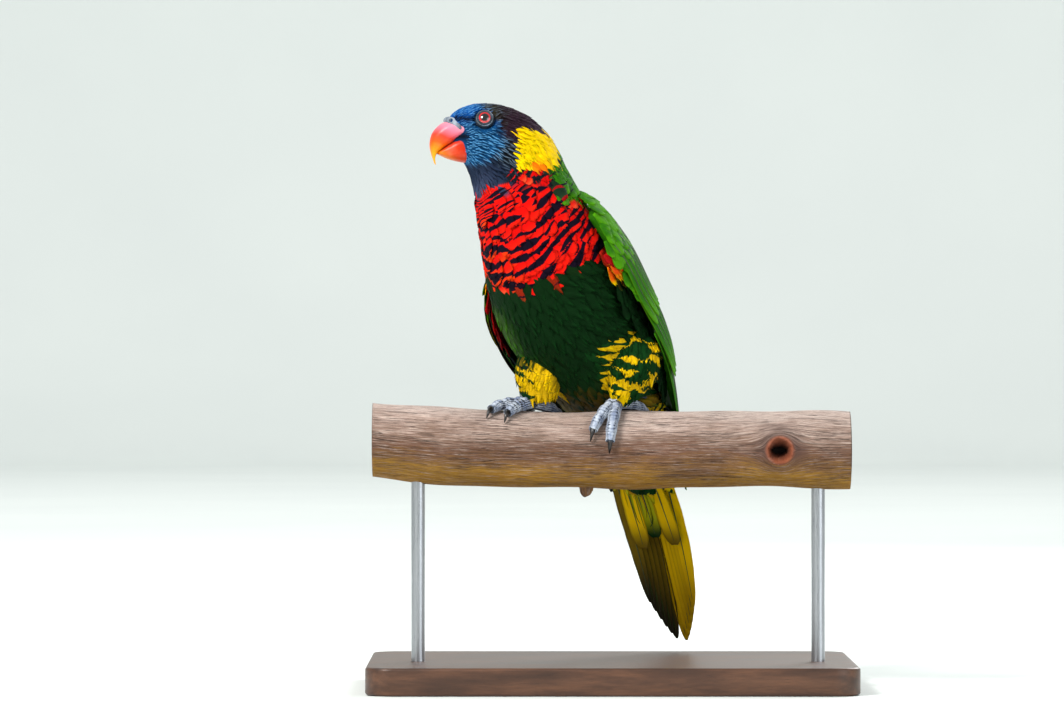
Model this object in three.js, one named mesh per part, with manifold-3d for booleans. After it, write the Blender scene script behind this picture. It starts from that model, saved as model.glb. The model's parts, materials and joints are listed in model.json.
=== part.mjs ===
// A life-size rainbow lorikeet, still, gripping a short cut length of branch on a plain display stand.
// Millimetres, +Z up. The bird is described about the branch: X runs along it, -Y is the side its toes
// hang over, and Z is measured from its middle. The whole is then lifted onto the stand.
import * as THREE from "three";
import { mergeVertices } from "three/addons/utils/BufferGeometryUtils.js";
import Module from "manifold-3d";

const wasm = await Module();
wasm.setup();

// Driving sizes
const BRANCH_RADIUS = 17;
const BRANCH_FROM = -100;
const BRANCH_TO = 110;
const KNOT_X = 78.5;
const KNOT_RADIUS = 5;
const STUB_X = -6;
const BRANCH_HEIGHT = 105;
const BASE_LENGTH = 214;
const BASE_DEPTH = 150;
const BASE_THICKNESS = 12;
const BASE_CORNER = 12;
const ROD_RADIUS = 3;
const ROD_X = [-80, 96];
const BRANCH_OVER_BASE = [-5, -15];
const GAP = 0.3;
const VANE_THICKNESS = 0.6;
const EYE_RADIUS = 4.1;
const TOE_RADIUS = 2.7;
const CLAW_LENGTH = 5.2;
const WING_THICKNESS = 3.6;

const rad = THREE.MathUtils.degToRad;
const vec = (x, y, z) => new THREE.Vector3(x, y, z);
const mix = THREE.MathUtils.lerp;
const UP = vec(0, 0, 1);

// The bird from the bill's root (0) back over the head, down the neck and trunk (12) and along the tail (14):
// the middle of each cross-section, where it faces (degrees from -Y towards -X), the rise of its back
// direction above level, its half width, and its depth to the back and to the front. The last two numbers
// are the half width and back depth of the folded wings that lie over the trunk.
const BODY = [
  [-63.2, -27.7, 136.0, 78, 108, 8.6, 9.6, 10.4, 0, 0],
  [-60.0, -27.0, 136.4, 78, 99, 11.8, 12.7, 13.2, 0, 0],
  [-54.2, -25.7, 135.2, 78, 84, 14.4, 16.4, 17.0, 0, 0],
  [-47.4, -24.3, 131.8, 76, 68, 15.8, 19.8, 20.2, 0, 0],
  [-41.2, -22.7, 126.6, 73, 53, 17.0, 22.3, 22.2, 0, 0],
  [-37.0, -21.0, 118.0, 66, 41, 19.0, 24.8, 23.4, 0, 0],
  [-30.0, -18.0, 100.5, 52, 33, 25.0, 25.0, 26.0, 24.5, 24.0],
  [-23.0, -12.0, 83.5, 43, 32, 30.0, 28.0, 29.8, 34.0, 31.0],
  [-15.0, -3.0, 62.0, 36, 36, 32.0, 28.5, 29.2, 37.0, 32.5],
  [-4.5, 10.5, 42.0, 31, 40, 30.0, 24.5, 25.0, 35.5, 28.5],
  [4.6, 26.0, 23.8, 28, 41, 24.5, 18.5, 16.5, 30, 21.5],
  [11.5, 39.0, 6.6, 28, 37, 19.0, 12.5, 10.5, 25, 16],
  [17.8, 49.0, -9.0, 29, 32, 15.0, 7.5, 7.5, 20, 10.5],
  [29.0, 66.5, -46.0, 31, 28, 9.0, 3.0, 3.0, 14, 6],
  [38.3, 85.0, -88.3, 31, 28, 4.0, 2.0, 2.0, 9, 4],
];
const HEAD_END = 4.4;
const NECK_END = 6.2;
const TRUNK_END = 12;

// A smooth value between the rows of a table, through all of them.
function between(rows, u) {
  const i = Math.min(rows.length - 2, Math.max(0, Math.floor(u)));
  const t = u - i;
  const row = (k) => rows[Math.min(rows.length - 1, Math.max(0, k))];
  return row(i).map((b, n) => {
    const [a, c, d] = [row(i - 1)[n], row(i + 1)[n], row(i + 2)[n]];
    const bend = 2 * a - 5 * b + 4 * c - d;
    return b + 0.5 * t * (c - a + t * (bend + t * (3 * (b - c) + d - a)));
  });
}

// The cross-section at u: its middle, its three directions and its sizes.
function section(u) {
  const [x, y, z, facing, rise, wide, back, front, wingWide, wingBack] = between(BODY, u);
  const ahead = vec(-Math.sin(rad(facing)), -Math.cos(rad(facing)), 0);
  const left = vec(Math.cos(rad(facing)), -Math.sin(rad(facing)), 0);
  const dorsal = ahead
    .clone()
    .multiplyScalar(-Math.cos(rad(rise)))
    .addScaledVector(UP, Math.sin(rad(rise)));
  return { middle: vec(x, y, z), left, dorsal, wide, back, front, wingWide, wingBack };
}

// A point round a section. Turn is 0 at the front, 90 on the bird's left, 180 on its back.
function around(s, turn, wide, back, front) {
  const across = Math.sin(rad(turn));
  const along = -Math.cos(rad(turn));
  return s.middle
    .clone()
    .addScaledVector(s.left, wide * Math.sign(across) * Math.abs(across) ** 0.94)
    .addScaledVector(s.dorsal, (along > 0 ? back : front) * Math.sign(along) * Math.abs(along) ** 0.94);
}
const onBody = (u, turn, grow = 0) => {
  const s = section(u);
  return around(s, turn, s.wide + grow, s.back + grow, s.front + grow);
};
const onWing = (u, turn, lift = 0) => {
  const s = section(u);
  return around(s, turn, s.wingWide + lift, s.wingBack + lift, s.wingBack + lift);
};

// Closed shapes, and the way between them and solids that can be joined and cut
function solid(geometry) {
  const plain = new THREE.BufferGeometry();
  plain.setAttribute("position", geometry.getAttribute("position"));
  plain.setIndex(geometry.getIndex());
  const merged = mergeVertices(plain, 1e-4);
  const made = new wasm.Manifold(
    new wasm.Mesh({
      numProp: 3,
      vertProperties: merged.attributes.position.array,
      triVerts: new Uint32Array(merged.index.array),
    }),
  );
  return made;
}
function geometryOf(made) {
  const mesh = made.getMesh();
  const geometry = new THREE.BufferGeometry();
  geometry.setAttribute("position", new THREE.BufferAttribute(mesh.vertProperties, 3));
  geometry.setIndex(new THREE.BufferAttribute(mesh.triVerts, 1));
  return geometry;
}
const joined = (solids) => solids.reduce((all, one) => all.add(one));
function largest(made) {
  const bodies = made.decompose();
  return bodies.reduce((best, one) => (one.volume() > best.volume() ? one : best));
}
function closedMesh(points, faces) {
  const geometry = new THREE.BufferGeometry();
  const places = new Float32Array(points.flatMap((p) => p.toArray()));
  geometry.setAttribute("position", new THREE.BufferAttribute(places, 3));
  geometry.setIndex(faces.flat());
  const made = solid(geometry);
  if (made.volume() > 0) return made;
  geometry.setIndex(faces.map(([a, b, c]) => [a, c, b]).flat());
  return solid(geometry);
}

// A closed skin through rings of points, its two ends closed by fans.
function loft(rings) {
  const n = rings[0].length;
  const points = rings.flat();
  const faces = [];
  for (let r = 0; r + 1 < rings.length; r++)
    for (let k = 0; k < n; k++) {
      const [a, b] = [r * n + k, r * n + ((k + 1) % n)];
      faces.push([a, b, b + n], [a, b + n, a + n]);
    }
  for (const [ring, start, flip] of [[rings[0], 0, true], [rings.at(-1), points.length - n, false]]) {
    const middle = ring.reduce((sum, p) => sum.add(p), vec(0, 0, 0)).divideScalar(n);
    const tip = points.push(middle) - 1;
    for (let k = 0; k < n; k++) {
      const [a, b] = [start + k, start + ((k + 1) % n)];
      faces.push(flip ? [b, a, tip] : [a, b, tip]);
    }
  }
  return closedMesh(points, faces);
}

// A tapering round rod along a path, as [point, radius] pairs, squashed along its side by flat.
function limb(path, sides = 8, flat = 1, side = vec(1, 0, 0)) {
  const rings = path.map(([p, radius], i) => {
    const before = path[Math.max(0, i - 1)][0];
    const after = path[Math.min(path.length - 1, i + 1)][0];
    const ahead = after.clone().sub(before).normalize();
    const across = side.clone().addScaledVector(ahead, -side.dot(ahead)).normalize();
    const over = ahead.clone().cross(across);
    return Array.from({ length: sides }, (_, k) => {
      const turn = (2 * Math.PI * k) / sides;
      return p
        .clone()
        .addScaledVector(across, radius * Math.cos(turn))
        .addScaledVector(over, radius * flat * Math.sin(turn));
    });
  });
  return loft(rings);
}

// One feather's vane: a thin tapered blade whose middle line follows place(t), for t from root to tip,
// with out(t) pointing away from the body. Its left edge is raised by lifts[0] and its right by lifts[1],
// so that it lies over the feather beside it, and its middle line stands up by ridge.
function vane({ place, out, half, rows, blunt, lifts = [0, 0], ridge = 0 }) {
  const columns = ridge ? [-1, 0, 1] : [-1, 1];
  const n = columns.length;
  const top = [];
  const under = [];
  for (let r = 0; r < rows; r++) {
    const t = 1 - (1 - r / (rows - 1)) ** 1.4;
    const ahead = place(Math.min(1, t + 0.02)).sub(place(Math.max(0, t - 0.02))).normalize();
    const across = ahead.clone().cross(out(t)).normalize();
    const up = across.clone().cross(ahead).normalize();
    const width = t < 0.7 ? mix(0.55, 1, Math.min(1, t / 0.35)) : mix(1, blunt, ((t - 0.7) / 0.3) ** 1.8);
    for (const share of columns) {
      const lift = mix(lifts[0], lifts[1], (share + 1) / 2) + ridge * (1 - Math.abs(share));
      const p = place(t).addScaledVector(across, share * half * width).addScaledVector(up, lift);
      top.push(p);
      under.push(p.clone().addScaledVector(up, -VANE_THICKNESS));
    }
  }
  const m = top.length;
  const faces = [];
  const quad = (a, b, c, d) => faces.push([a, b, c], [a, c, d]);
  for (let a = 0; a + n < m; a += n) {
    for (let k = a; k + 1 < a + n; k++) {
      quad(k, k + 1, k + n + 1, k + n);
      faces.push([m + k, m + k + n + 1, m + k + 1], [m + k, m + k + n, m + k + n + 1]);
    }
    quad(a, a + n, m + a + n, m + a);
    quad(a + 2 * n - 1, a + n - 1, m + a + n - 1, m + a + 2 * n - 1);
  }
  for (let k = 0; k + 1 < n; k++) {
    const e = m - n + k;
    quad(m + k, m + k + 1, k + 1, k);
    quad(e, e + 1, m + e + 1, m + e);
  }
  return closedMesh([...top, ...under], faces);
}

// The branch: a rough round log that bends and swells a little, and its radius at any place.
const branchBend = (x) => 0.00045 * x * x * (x < 0 ? 1 : 0);
function branchRadius(x, turn) {
  const swell = 0.35 * Math.sin(x / 13) + 0.25 * Math.sin(x / 7 + 2 * turn);
  const lumps = 0.4 * Math.sin(3 * turn + x / 31) + 0.25 * Math.sin(5 * turn - x / 17);
  const fromKnot = Math.hypot(x - KNOT_X, BRANCH_RADIUS * (turn - Math.PI / 2));
  return BRANCH_RADIUS + swell + lumps + 1.4 * Math.exp(-((fromKnot / 9) ** 2));
}
// A point beside the branch: turn is 0 on top and a quarter turn at the front, above is off the wood.
function besideBranch(x, turn, above) {
  const r = branchRadius(x, turn) + above;
  return vec(x, -r * Math.sin(turn), r * Math.cos(turn) + branchBend(x));
}
function branch() {
  const rings = [];
  const [steps, sides] = [30, 22];
  for (let i = 0; i <= steps; i++) {
    const x = mix(BRANCH_FROM, BRANCH_TO, i / steps);
    rings.push(Array.from({ length: sides }, (_, k) => besideBranch(x, (2 * Math.PI * k) / sides, 0)));
  }
  const hole = limb(
    [
      [vec(KNOT_X, -BRANCH_RADIUS - 4, 0), KNOT_RADIUS + 0.8],
      [vec(KNOT_X, -BRANCH_RADIUS + 1, 0), KNOT_RADIUS],
      [vec(KNOT_X + 1, -BRANCH_RADIUS + 8, -1), KNOT_RADIUS * 0.75],
      [vec(KNOT_X + 1.5, -BRANCH_RADIUS + 12, -1), KNOT_RADIUS * 0.4],
    ],
    12,
  );
  const stub = limb(
    [
      [vec(STUB_X, -1, -BRANCH_RADIUS + 3), 3.4],
      [vec(STUB_X, -1, -BRANCH_RADIUS - 1), 2.8],
      [vec(STUB_X + 0.6, -1, -BRANCH_RADIUS - 3.4), 1.5],
    ],
    8,
  );
  return largest(loft(rings).add(stub).subtract(hole));
}

// The trunk of the bird and its head and neck, parted by thin cuts square to the spine.
function bodyPart(from, to, steps, sides, grow = 0) {
  const rings = [];
  for (let i = 0; i <= steps; i++) {
    const u = mix(from, to, i / steps);
    rings.push(Array.from({ length: sides }, (_, k) => onBody(u, (360 * k) / sides, grow)));
  }
  for (const [ring, u, way] of [[rings[0], from, 1], [rings.at(-1), to, -1]]) {
    const s = section(u);
    const ahead = s.left.clone().cross(s.dorsal);
    if (ahead.dot(section(u + 0.1).middle.sub(s.middle)) < 0) ahead.negate();
    for (const p of ring) p.addScaledVector(ahead, (way * GAP) / 2);
  }
  return loft(rings);
}

// The head's own directions, for what is set on it
const HEAD_FACING = 78;
const HEAD_MIDDLE = vec(-63.2, -27.7, 136.5);
const headAhead = vec(-Math.sin(rad(HEAD_FACING)), -Math.cos(rad(HEAD_FACING)), 0);
const headLeft = vec(Math.cos(rad(HEAD_FACING)), -Math.sin(rad(HEAD_FACING)), 0);
const onHead = (ahead, up, left = 0) =>
  HEAD_MIDDLE.clone()
    .addScaledVector(headAhead, ahead)
    .addScaledVector(UP, up)
    .addScaledVector(headLeft, left);

// Bill: rows of [ahead and height of the upper line, ahead and height of the lower line, half width]
const UPPER_BILL = [
  [-1.6, 7.4, -4.4, 1.4, 5.4],
  [1.8, 8.2, -2.4, 0.9, 6.0],
  [5.2, 7.4, 0.2, -0.6, 6.0],
  [8.3, 4.9, 2.9, -2.5, 5.4],
  [10.5, 1.3, 5.8, -4.8, 4.4],
  [11.4, -2.8, 8.2, -7.0, 3.0],
  [10.9, -6.8, 9.1, -9.2, 1.7],
  [9.4, -11.4, 8.7, -12.0, 0.5],
];
const LOWER_BILL = [
  [-4.2, 0.8, -7.0, -9.6, 4.6],
  [-2.4, 0.4, -4.9, -10.6, 5.4],
  [1.0, -1.2, -1.2, -10.4, 5.3],
  [4.5, -3.6, 3.2, -9.4, 4.5],
  [7.2, -5.7, 6.6, -8.0, 3.1],
  [8.2, -6.7, 8.0, -7.4, 1.3],
];
function bill(rows, steps, roundUp, roundDown, grow = 0) {
  const sides = 12;
  const rings = [];
  for (let i = 0; i <= steps; i++) {
    const [a, b, c, d, wide] = between(rows, ((rows.length - 1) * i) / steps);
    const back = i === 0 ? grow : 0;
    const middle = onHead((a + c) / 2 - back, (b + d) / 2);
    const over = onHead(a - back, b).sub(middle);
    over.setLength(over.length() + grow);
    rings.push(
      Array.from({ length: sides }, (_, k) => {
        const turn = (2 * Math.PI * k) / sides;
        const [s, h] = [Math.sin(turn), Math.cos(turn)];
        const power = h > 0 ? roundUp : roundDown;
        return middle
          .clone()
          .addScaledVector(headLeft, (wide + grow) * Math.sign(s) * Math.abs(s) ** 0.85)
          .addScaledVector(over, Math.sign(h) * Math.abs(h) ** power);
      }),
    );
  }
  return loft(rings);
}
const upperBill = (grow) => bill(UPPER_BILL, 10, 0.85, 1.1, grow);
const lowerBill = (grow) => bill(LOWER_BILL, 5, 1.2, 0.85, grow);

// Eyes: a ball set deep in each side of the head, inside a bare ring of lid
const EYE_AHEAD = -10.9;
const EYE_UP = 7.2;
const EYE_OUT = 10.0;
const EYE_TILT = [0.2, 0.34];
const LID_RADIUS = 3.75;
const LID_THICKNESS = 0.8;
const LID_OUT = 2.6;
const NOSTRIL_RADIUS = 0.7;
const eyeMiddle = (side) => onHead(EYE_AHEAD, EYE_UP, side * EYE_OUT);
const ball = (middle, radius, detail) =>
  solid(new THREE.SphereGeometry(radius, detail * 2, detail).translate(...middle.toArray()));
function lid(side) {
  const ring = new THREE.TorusGeometry(LID_RADIUS, LID_THICKNESS, 6, 18);
  const outward = headLeft.clone().multiplyScalar(side);
  outward.addScaledVector(headAhead, EYE_TILT[0]).addScaledVector(UP, EYE_TILT[1]).normalize();
  ring.applyQuaternion(new THREE.Quaternion().setFromUnitVectors(UP, outward));
  ring.translate(...eyeMiddle(side).addScaledVector(outward, LID_OUT).toArray());
  return solid(ring);
}
// The bare fold over the root of the bill, with a nostril in each side
function cere() {
  const half = [[-1.2, 3.0, 6.2, 0.9], [0.2, 5.4, 5.6, 1.1], [1.7, 7.2, 4.2, 1.3], [2.7, 8.0, 2.2, 1.3]];
  const across = [...half, [3.0, 8.2, 0, 1.2], ...half.toReversed().map(([a, b, c, r]) => [a, b, -c, r])];
  const fold = limb(across.map(([a, b, c, r]) => [onHead(a, b, c), r]), 8);
  const holes = [1, -1].map((side) => ball(onHead(2.5, 8.4, side * 3.9), NOSTRIL_RADIUS, 4));
  return { fold, holes: joined(holes) };
}
function head() {
  let made = bodyPart(0, HEAD_END, 10, 24);
  const { fold, holes } = cere();
  made = made.add(fold).subtract(holes).subtract(upperBill(GAP)).subtract(lowerBill(GAP));
  for (const side of [1, -1]) {
    made = made.add(lid(side)).subtract(ball(eyeMiddle(side), EYE_RADIUS + GAP, 7));
  }
  return largest(made);
}

// Legs: the feathered thigh as [place, radius] down to the foot, then where each toe lies on the branch
// as [place along it, degrees round it from its top towards the front]: two toes ahead and two behind.
const LEGS = {
  left: {
    thigh: [
      [vec(10, 0, 53), 9],
      [vec(12.5, -4, 44), 13.5],
      [vec(12.5, -5.5, 37), 14.2],
      [vec(11.5, -5.5, 30.5), 11.5],
      [vec(10, -5, 25.5), 8],
      [vec(8.8, -4, 22.6), 5],
    ],
    foot: vec(7.6, -1.5, 20.6),
    toes: [
      [[5, 20], [1.8, 34], [-1, 48], [-3.2, 62]],
      [[7.2, 22], [6.1, 40], [4.9, 60], [4.2, 79]],
      [[11, -5], [14.5, -12], [17.5, -22], [20, -34]],
      [[7, -22], [6, -40], [4, -58], [3, -72]],
    ],
  },
  right: {
    thigh: [
      [vec(-20, -1, 52), 8],
      [vec(-24, -1.5, 43), 11],
      [vec(-26, -1, 36), 11.8],
      [vec(-26.5, 0, 30), 10.8],
      [vec(-26, 1, 25.8), 9],
      [vec(-25.5, 1, 23), 6],
    ],
    foot: vec(-30, -0.6, 21),
    toes: [
      [[-35, 3], [-40, 8], [-44.5, 17], [-48, 31]],
      [[-34, 13], [-36.5, 20], [-38.7, 28], [-40.5, 37]],
      [[-26, -10], [-22, -20], [-19, -34], [-17, -48]],
      [[-31, -22], [-33, -39], [-35, -56], [-36, -70]],
    ],
  },
};
const TOE_SHARES = [1, 0.94, 0.86, 0.74];
function foot(leg, grow = 0) {
  const tarsus = [[leg.foot.clone().addScaledVector(UP, 3.5), 2.7], [leg.foot, 3.2]];
  const pieces = [limb(tarsus.map(([p, r]) => [p, r + grow]), 10)];
  for (const toe of leg.toes) {
    const path = [[leg.foot, TOE_RADIUS + grow]];
    for (let i = 0; i < toe.length - 0.5; i += 0.5) {
      const [x, turn] = between(toe, i);
      const radius = TOE_RADIUS * between(TOE_SHARES.map((share) => [share]), i)[0] * (i % 1 ? 0.9 : 1);
      path.push([besideBranch(x, rad(turn), radius + GAP + 0.25), radius + grow]);
    }
    pieces.push(limb(path, 8));
  }
  return largest(joined(pieces));
}
// A claw leaves its toe's end, curves on round the branch and ends in a point.
function claw(toe, grow = 0) {
  const [x1, t1] = toe[toe.length - 1];
  const [x0, t0] = toe[toe.length - 2];
  const [dx, dt] = [(x1 - x0) * 0.5, rad(t1 - t0) * BRANCH_RADIUS];
  const length = Math.hypot(dx, dt);
  const radius = TOE_RADIUS * TOE_SHARES.at(-1);
  const path = [];
  for (let i = 0; i <= 4; i++) {
    const t = i / 4;
    const reach = 0.45 + (CLAW_LENGTH * t) / (1 + 0.15 * t);
    const thick = radius * 0.7 * (1 - t) ** 0.8 + 0.22;
    const above = radius + GAP + 0.7 * Math.sin(Math.PI * t) - (radius - thick) * t ** 1.5;
    const turn = t1 + ((dt / length) * reach * 180) / Math.PI / BRANCH_RADIUS;
    const place = besideBranch(x1 + (dx / length) * reach, rad(turn), Math.max(above, thick + GAP));
    path.push([place, thick + grow]);
  }
  return limb(path, 6);
}

// Wings: a thin plate over the trunk with tiers of feathers, each laid from its root to its tip.
// A place on a wing is u along the spine and a share of the way from its front edge to its rear edge.
// Front and rear are [u, degrees round the body]; held is [u, how far the front edge is held out].
const WING_FROM = 6.3;
const WING_PLATE_END = 10.7;
const WING_PLATE_THINS = 9.6;
const WING_REAR = [[6.3, 148], [7.5, 161], [9, 166], [10.4, 164], [12.6, 138]];
const WINGS = {
  left: {
    side: 1,
    front: [[6.3, 104], [7, 96], [8, 91.5], [9, 90.5], [10, 92], [12.6, 96]],
    held: [[6, 0], [13, 0]],
    depth: WING_THICKNESS,
  },
  right: {
    side: -1,
    front: [[6.3, 112], [7, 92], [7.5, 74], [8, 63], [8.7, 58], [9.3, 64], [10, 78], [12.6, 92]],
    held: [[6.6, 0], [7.3, -2.4], [9.3, -2.4], [10.2, 0]],
    depth: 0.8,
  },
};
// Tiers, from the longest feathers up to the shoulder: how many, [u, share] of the first feather's root
// and of the last one's, the same for their tips, then half width, height, rows of each vane and tip width.
const WING_TIERS = [
  [5, [8.6, 0.1, 8.4, 0.52], [12.35, 0.25, 11.9, 0.55], 4.8, 0.1, 5, 0.2],
  [4, [8.2, 0.56, 7.9, 0.93], [11.7, 0.68, 10.9, 0.94], 5.4, 0.5, 5, 0.3],
  [5, [7.5, 0.08, 7.3, 0.92], [9.6, 0.08, 9.4, 0.92], 5.4, 0.9, 4, 0.45],
  [4, [6.9, 0.1, 6.8, 0.9], [8.4, 0.1, 8.3, 0.9], 6.2, 1.0, 4, 0.5],
  [3, [6.45, 0.2, 6.4, 0.8], [7.5, 0.16, 7.45, 0.84], 7.0, 1.0, 4, 0.5],
];
function along(rows, u) {
  const i = Math.max(0, rows.findLastIndex((row, n) => row[0] <= u && n + 1 < rows.length));
  const t = Math.min(1, Math.max(0, (u - rows[i][0]) / (rows[i + 1][0] - rows[i][0])));
  return mix(rows[i][1], rows[i + 1][1], t * t * (3 - 2 * t));
}
function wingPlace(kind, u, share, lift) {
  const turn = mix(along(kind.front, u), along(WING_REAR, u), share);
  return onWing(u, kind.side * turn, lift + along(kind.held, u) * (1 - share) ** 2);
}
function wing(kind) {
  const rings = [];
  for (let i = 0; i <= 9; i++) {
    const u = mix(WING_FROM, WING_PLATE_END, i / 9);
    const narrow = Math.sin((Math.PI / 2) * Math.min(1, (i + 1.6) / 3));
    const thin = 1 - Math.max(0, (u - WING_PLATE_THINS) / 1.3);
    const ring = [];
    for (const [upper, way] of [[true, 1], [false, -1]])
      for (let k = 0; k <= 6; k++) {
        const share = 0.5 + (way * narrow * (k - 3)) / 6;
        const deep = 0.5 + thin * mix(kind.depth, WING_THICKNESS, Math.min(1, 2 * share));
        const high = (i ? 0.2 : -1.6) + 1.6 * Math.sin((Math.PI * k) / 6) ** 0.5;
        ring.push(wingPlace(kind, u, share, upper ? high : -deep));
      }
    rings.push(ring);
  }
  const pieces = [loft(rings)];
  for (const [count, from, to, half, raised, rows, blunt] of WING_TIERS) {
    for (let i = 0; i < count; i++) {
      const [root, tip] = [from, to].map(([u0, share0, u1, share1]) => {
        const t = i / (count - 1);
        return [mix(u0, u1, t), mix(share0, share1, t)];
      });
      const place = (t, lift) => wingPlace(kind, mix(root[0], tip[0], t), mix(root[1], tip[1], t), lift);
      const height = (t) => raised + mix(-0.4, 1.1, t);
      pieces.push(
        vane({
          half,
          rows,
          blunt,
          place: (t) => place(t, height(t)),
          out: (t) => place(t, 1).sub(place(t, 0)).normalize(),
          lifts: kind.side > 0 ? [0, 0.75] : [0.75, 0],
        }),
      );
    }
  }
  return largest(joined(pieces));
}

// Tail: twelve tapered feathers, the middle pair longest and uppermost, with short coverts over and under
const TAIL_TIP = 13.98;
const TAIL_STEP = 0.12;
function tail() {
  const place = (u, across, above) => {
    const s = section(u);
    return s.middle.addScaledVector(s.left, across).addScaledVector(s.dorsal, above);
  };
  const feather = (from, to, tip, height, shape) =>
    vane({
      place: (t) => place(mix(TRUNK_END + 0.08, tip, t), mix(from, to, t), height(t)),
      out: (t) => section(mix(TRUNK_END, tip, t)).dorsal,
      ...shape,
    });
  const core = Array.from({ length: 5 }, (_, i) => {
    const s = section(TRUNK_END + 0.02 + 0.16 * i);
    const size = 1 - 0.16 * i;
    const point = (k) => around(s, (360 * k) / 16, 13 * size + 1, 6 * size, 6.4 * size);
    return Array.from({ length: 16 }, (_, k) => point(k));
  });
  const pieces = [loft(core)];
  for (let pair = 0; pair < 6; pair++) {
    for (const side of [1, -1]) {
      const tip = TAIL_TIP - TAIL_STEP * pair - (side < 0 ? 0.03 : 0);
      const [from, to] = [1.5 + 2.3 * pair, 2.3 + 1.75 * pair].map((across) => side * across);
      const shape = { half: mix(5.2, 4.3, pair / 5), rows: 6, blunt: 0.25, ridge: pair < 1 ? 0.3 : 0 };
      pieces.push(feather(from, to, tip, (t) => 1.2 - 0.48 * pair - t, shape));
    }
  }
  for (const [above, set] of [
    [-4.6, [[-4.5, -4.3, 12.62], [0.5, 0.5, 12.82], [-6.5, -7.4, 12.95], [8, 9.5, 12.9]]],
    [3.6, [[-5.5, -4.5, 12.7], [0, 0, 12.95], [5.5, 4.5, 12.7]]],
  ]) {
    for (const [from, to, tip] of set) {
      pieces.push(feather(from, to, tip, (t) => above * (1 - 0.2 * t), { half: 5, rows: 4, blunt: 0.4 }));
    }
  }
  return largest(joined(pieces));
}

// Stand: a flat base and two rods up into the branch
const ROD_IN_BRANCH = 10;
const ROD_IN_BASE = 4;
const rodFoot = BASE_THICKNESS - ROD_IN_BASE;
const rodHead = BRANCH_HEIGHT - BRANCH_RADIUS + ROD_IN_BRANCH;
function base() {
  const [l, d, r] = [BASE_LENGTH / 2, BASE_DEPTH / 2, BASE_CORNER];
  const outline = new THREE.Shape();
  outline.absarc(l - r, -d + r, r, -Math.PI / 2, 0);
  outline.absarc(l - r, d - r, r, 0, Math.PI / 2);
  outline.absarc(-l + r, d - r, r, Math.PI / 2, Math.PI);
  outline.absarc(-l + r, -d + r, r, Math.PI, 1.5 * Math.PI);
  outline.closePath();
  const bevel = 1.2;
  const slab = new THREE.ExtrudeGeometry(outline, {
    depth: BASE_THICKNESS - 2 * bevel,
    bevelThickness: bevel,
    bevelSize: bevel,
    bevelOffset: -bevel,
    bevelSegments: 1,
    curveSegments: 4,
  });
  return solid(slab.translate(0, 0, bevel));
}
function rod(x, from, to, radius) {
  const made = new THREE.CylinderGeometry(radius, radius, to - from, 24).rotateX(Math.PI / 2);
  return solid(made.translate(x + BRANCH_OVER_BASE[0], BRANCH_OVER_BASE[1], (from + to) / 2));
}

const COLOURS = {
  head: [0x1d4a7d, 0.6],
  neck: [0x1f6b22, 0.65],
  torso: [0xc22a17, 0.65],
  tail: [0x9a8a12, 0.6],
  wing: [0x2f7d1f, 0.6],
  leg: [0xc79a12, 0.7],
  foot: [0x7f8894, 0.7],
  claw: [0x24242a, 0.4],
  bill: [0xe2532b, 0.35],
  eye: [0x6a1512, 0.15],
  branch: [0x8c7565, 0.85],
  stand: [0x3a2a20, 0.5],
  rod: [0x77787c, 0.3],
};
const lorikeet = new THREE.Group();
const overBase = vec(...BRANCH_OVER_BASE, BRANCH_HEIGHT);
function add(name, made, finish) {
  const [color, roughness] = COLOURS[finish];
  const metalness = finish === "rod" ? 0.9 : 0;
  const material = new THREE.MeshStandardMaterial({ color, roughness, metalness });
  const mesh = new THREE.Mesh(geometryOf(made), material);
  mesh.name = name;
  lorikeet.add(mesh);
}
const addBird = (name, made, finish) => add(name, made.translate(overBase.toArray()), finish);

const trunkRoom = bodyPart(NECK_END - 0.6, TRUNK_END, 16, 26, GAP);
const thighOf = (leg, grow) => limb(leg.thigh.map(([p, r]) => [p, r + grow]), 14);
addBird("head", head(), "head");
addBird("neck", bodyPart(HEAD_END, NECK_END, 6, 26), "neck");
const feetRoom = joined(
  Object.values(LEGS).flatMap((leg) => [foot(leg, GAP), ...leg.toes.map((toe) => claw(toe, GAP))]),
);
addBird("torso", largest(bodyPart(NECK_END, TRUNK_END, 15, 26).subtract(feetRoom)), "torso");
addBird("bill_upper", largest(upperBill(0)), "bill");
addBird("bill_lower", largest(lowerBill(0).subtract(upperBill(GAP))), "bill");
for (const name of ["left", "right"]) {
  const [leg, kind] = [LEGS[name], WINGS[name]];
  addBird(`eye_${name}`, ball(eyeMiddle(kind.side), EYE_RADIUS, 7), "eye");
  const wingRoom = trunkRoom.add(thighOf(leg, GAP));
  addBird(`wing_${name}`, largest(wing(kind).subtract(wingRoom)), "wing");
  const footSolid = foot(leg);
  addBird(`leg_${name}`, largest(thighOf(leg, 0).subtract(trunkRoom)), "leg");
  addBird(`foot_${name}`, largest(footSolid.subtract(thighOf(leg, GAP))), "foot");
  leg.toes.forEach((toe, i) => addBird(`claw_${name}_${i + 1}`, claw(toe), "claw"));
}
addBird("tail", tail(), "tail");
const sockets = joined(ROD_X.map((x) => rod(x, rodFoot - GAP, rodHead + GAP, ROD_RADIUS + GAP)));
add("perch", largest(branch().translate(overBase.toArray()).subtract(sockets)), "branch");
add("stand_base", base().subtract(sockets), "stand");
["left", "right"].forEach((name, i) =>
  add(`stand_rod_${name}`, rod(ROD_X[i], rodFoot, rodHead, ROD_RADIUS), "rod"),
);

export default lorikeet;
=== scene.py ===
# %% [markdown]
# A still rainbow lorikeet that grips a cut length of branch on a display stand. The packed model says where
# every part is. This lesson gives each part its finish and lays some thousands of separate feathers over
# the bird.

# %% Load the packed model as the fixed frame
import json
import math
from types import SimpleNamespace

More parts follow.
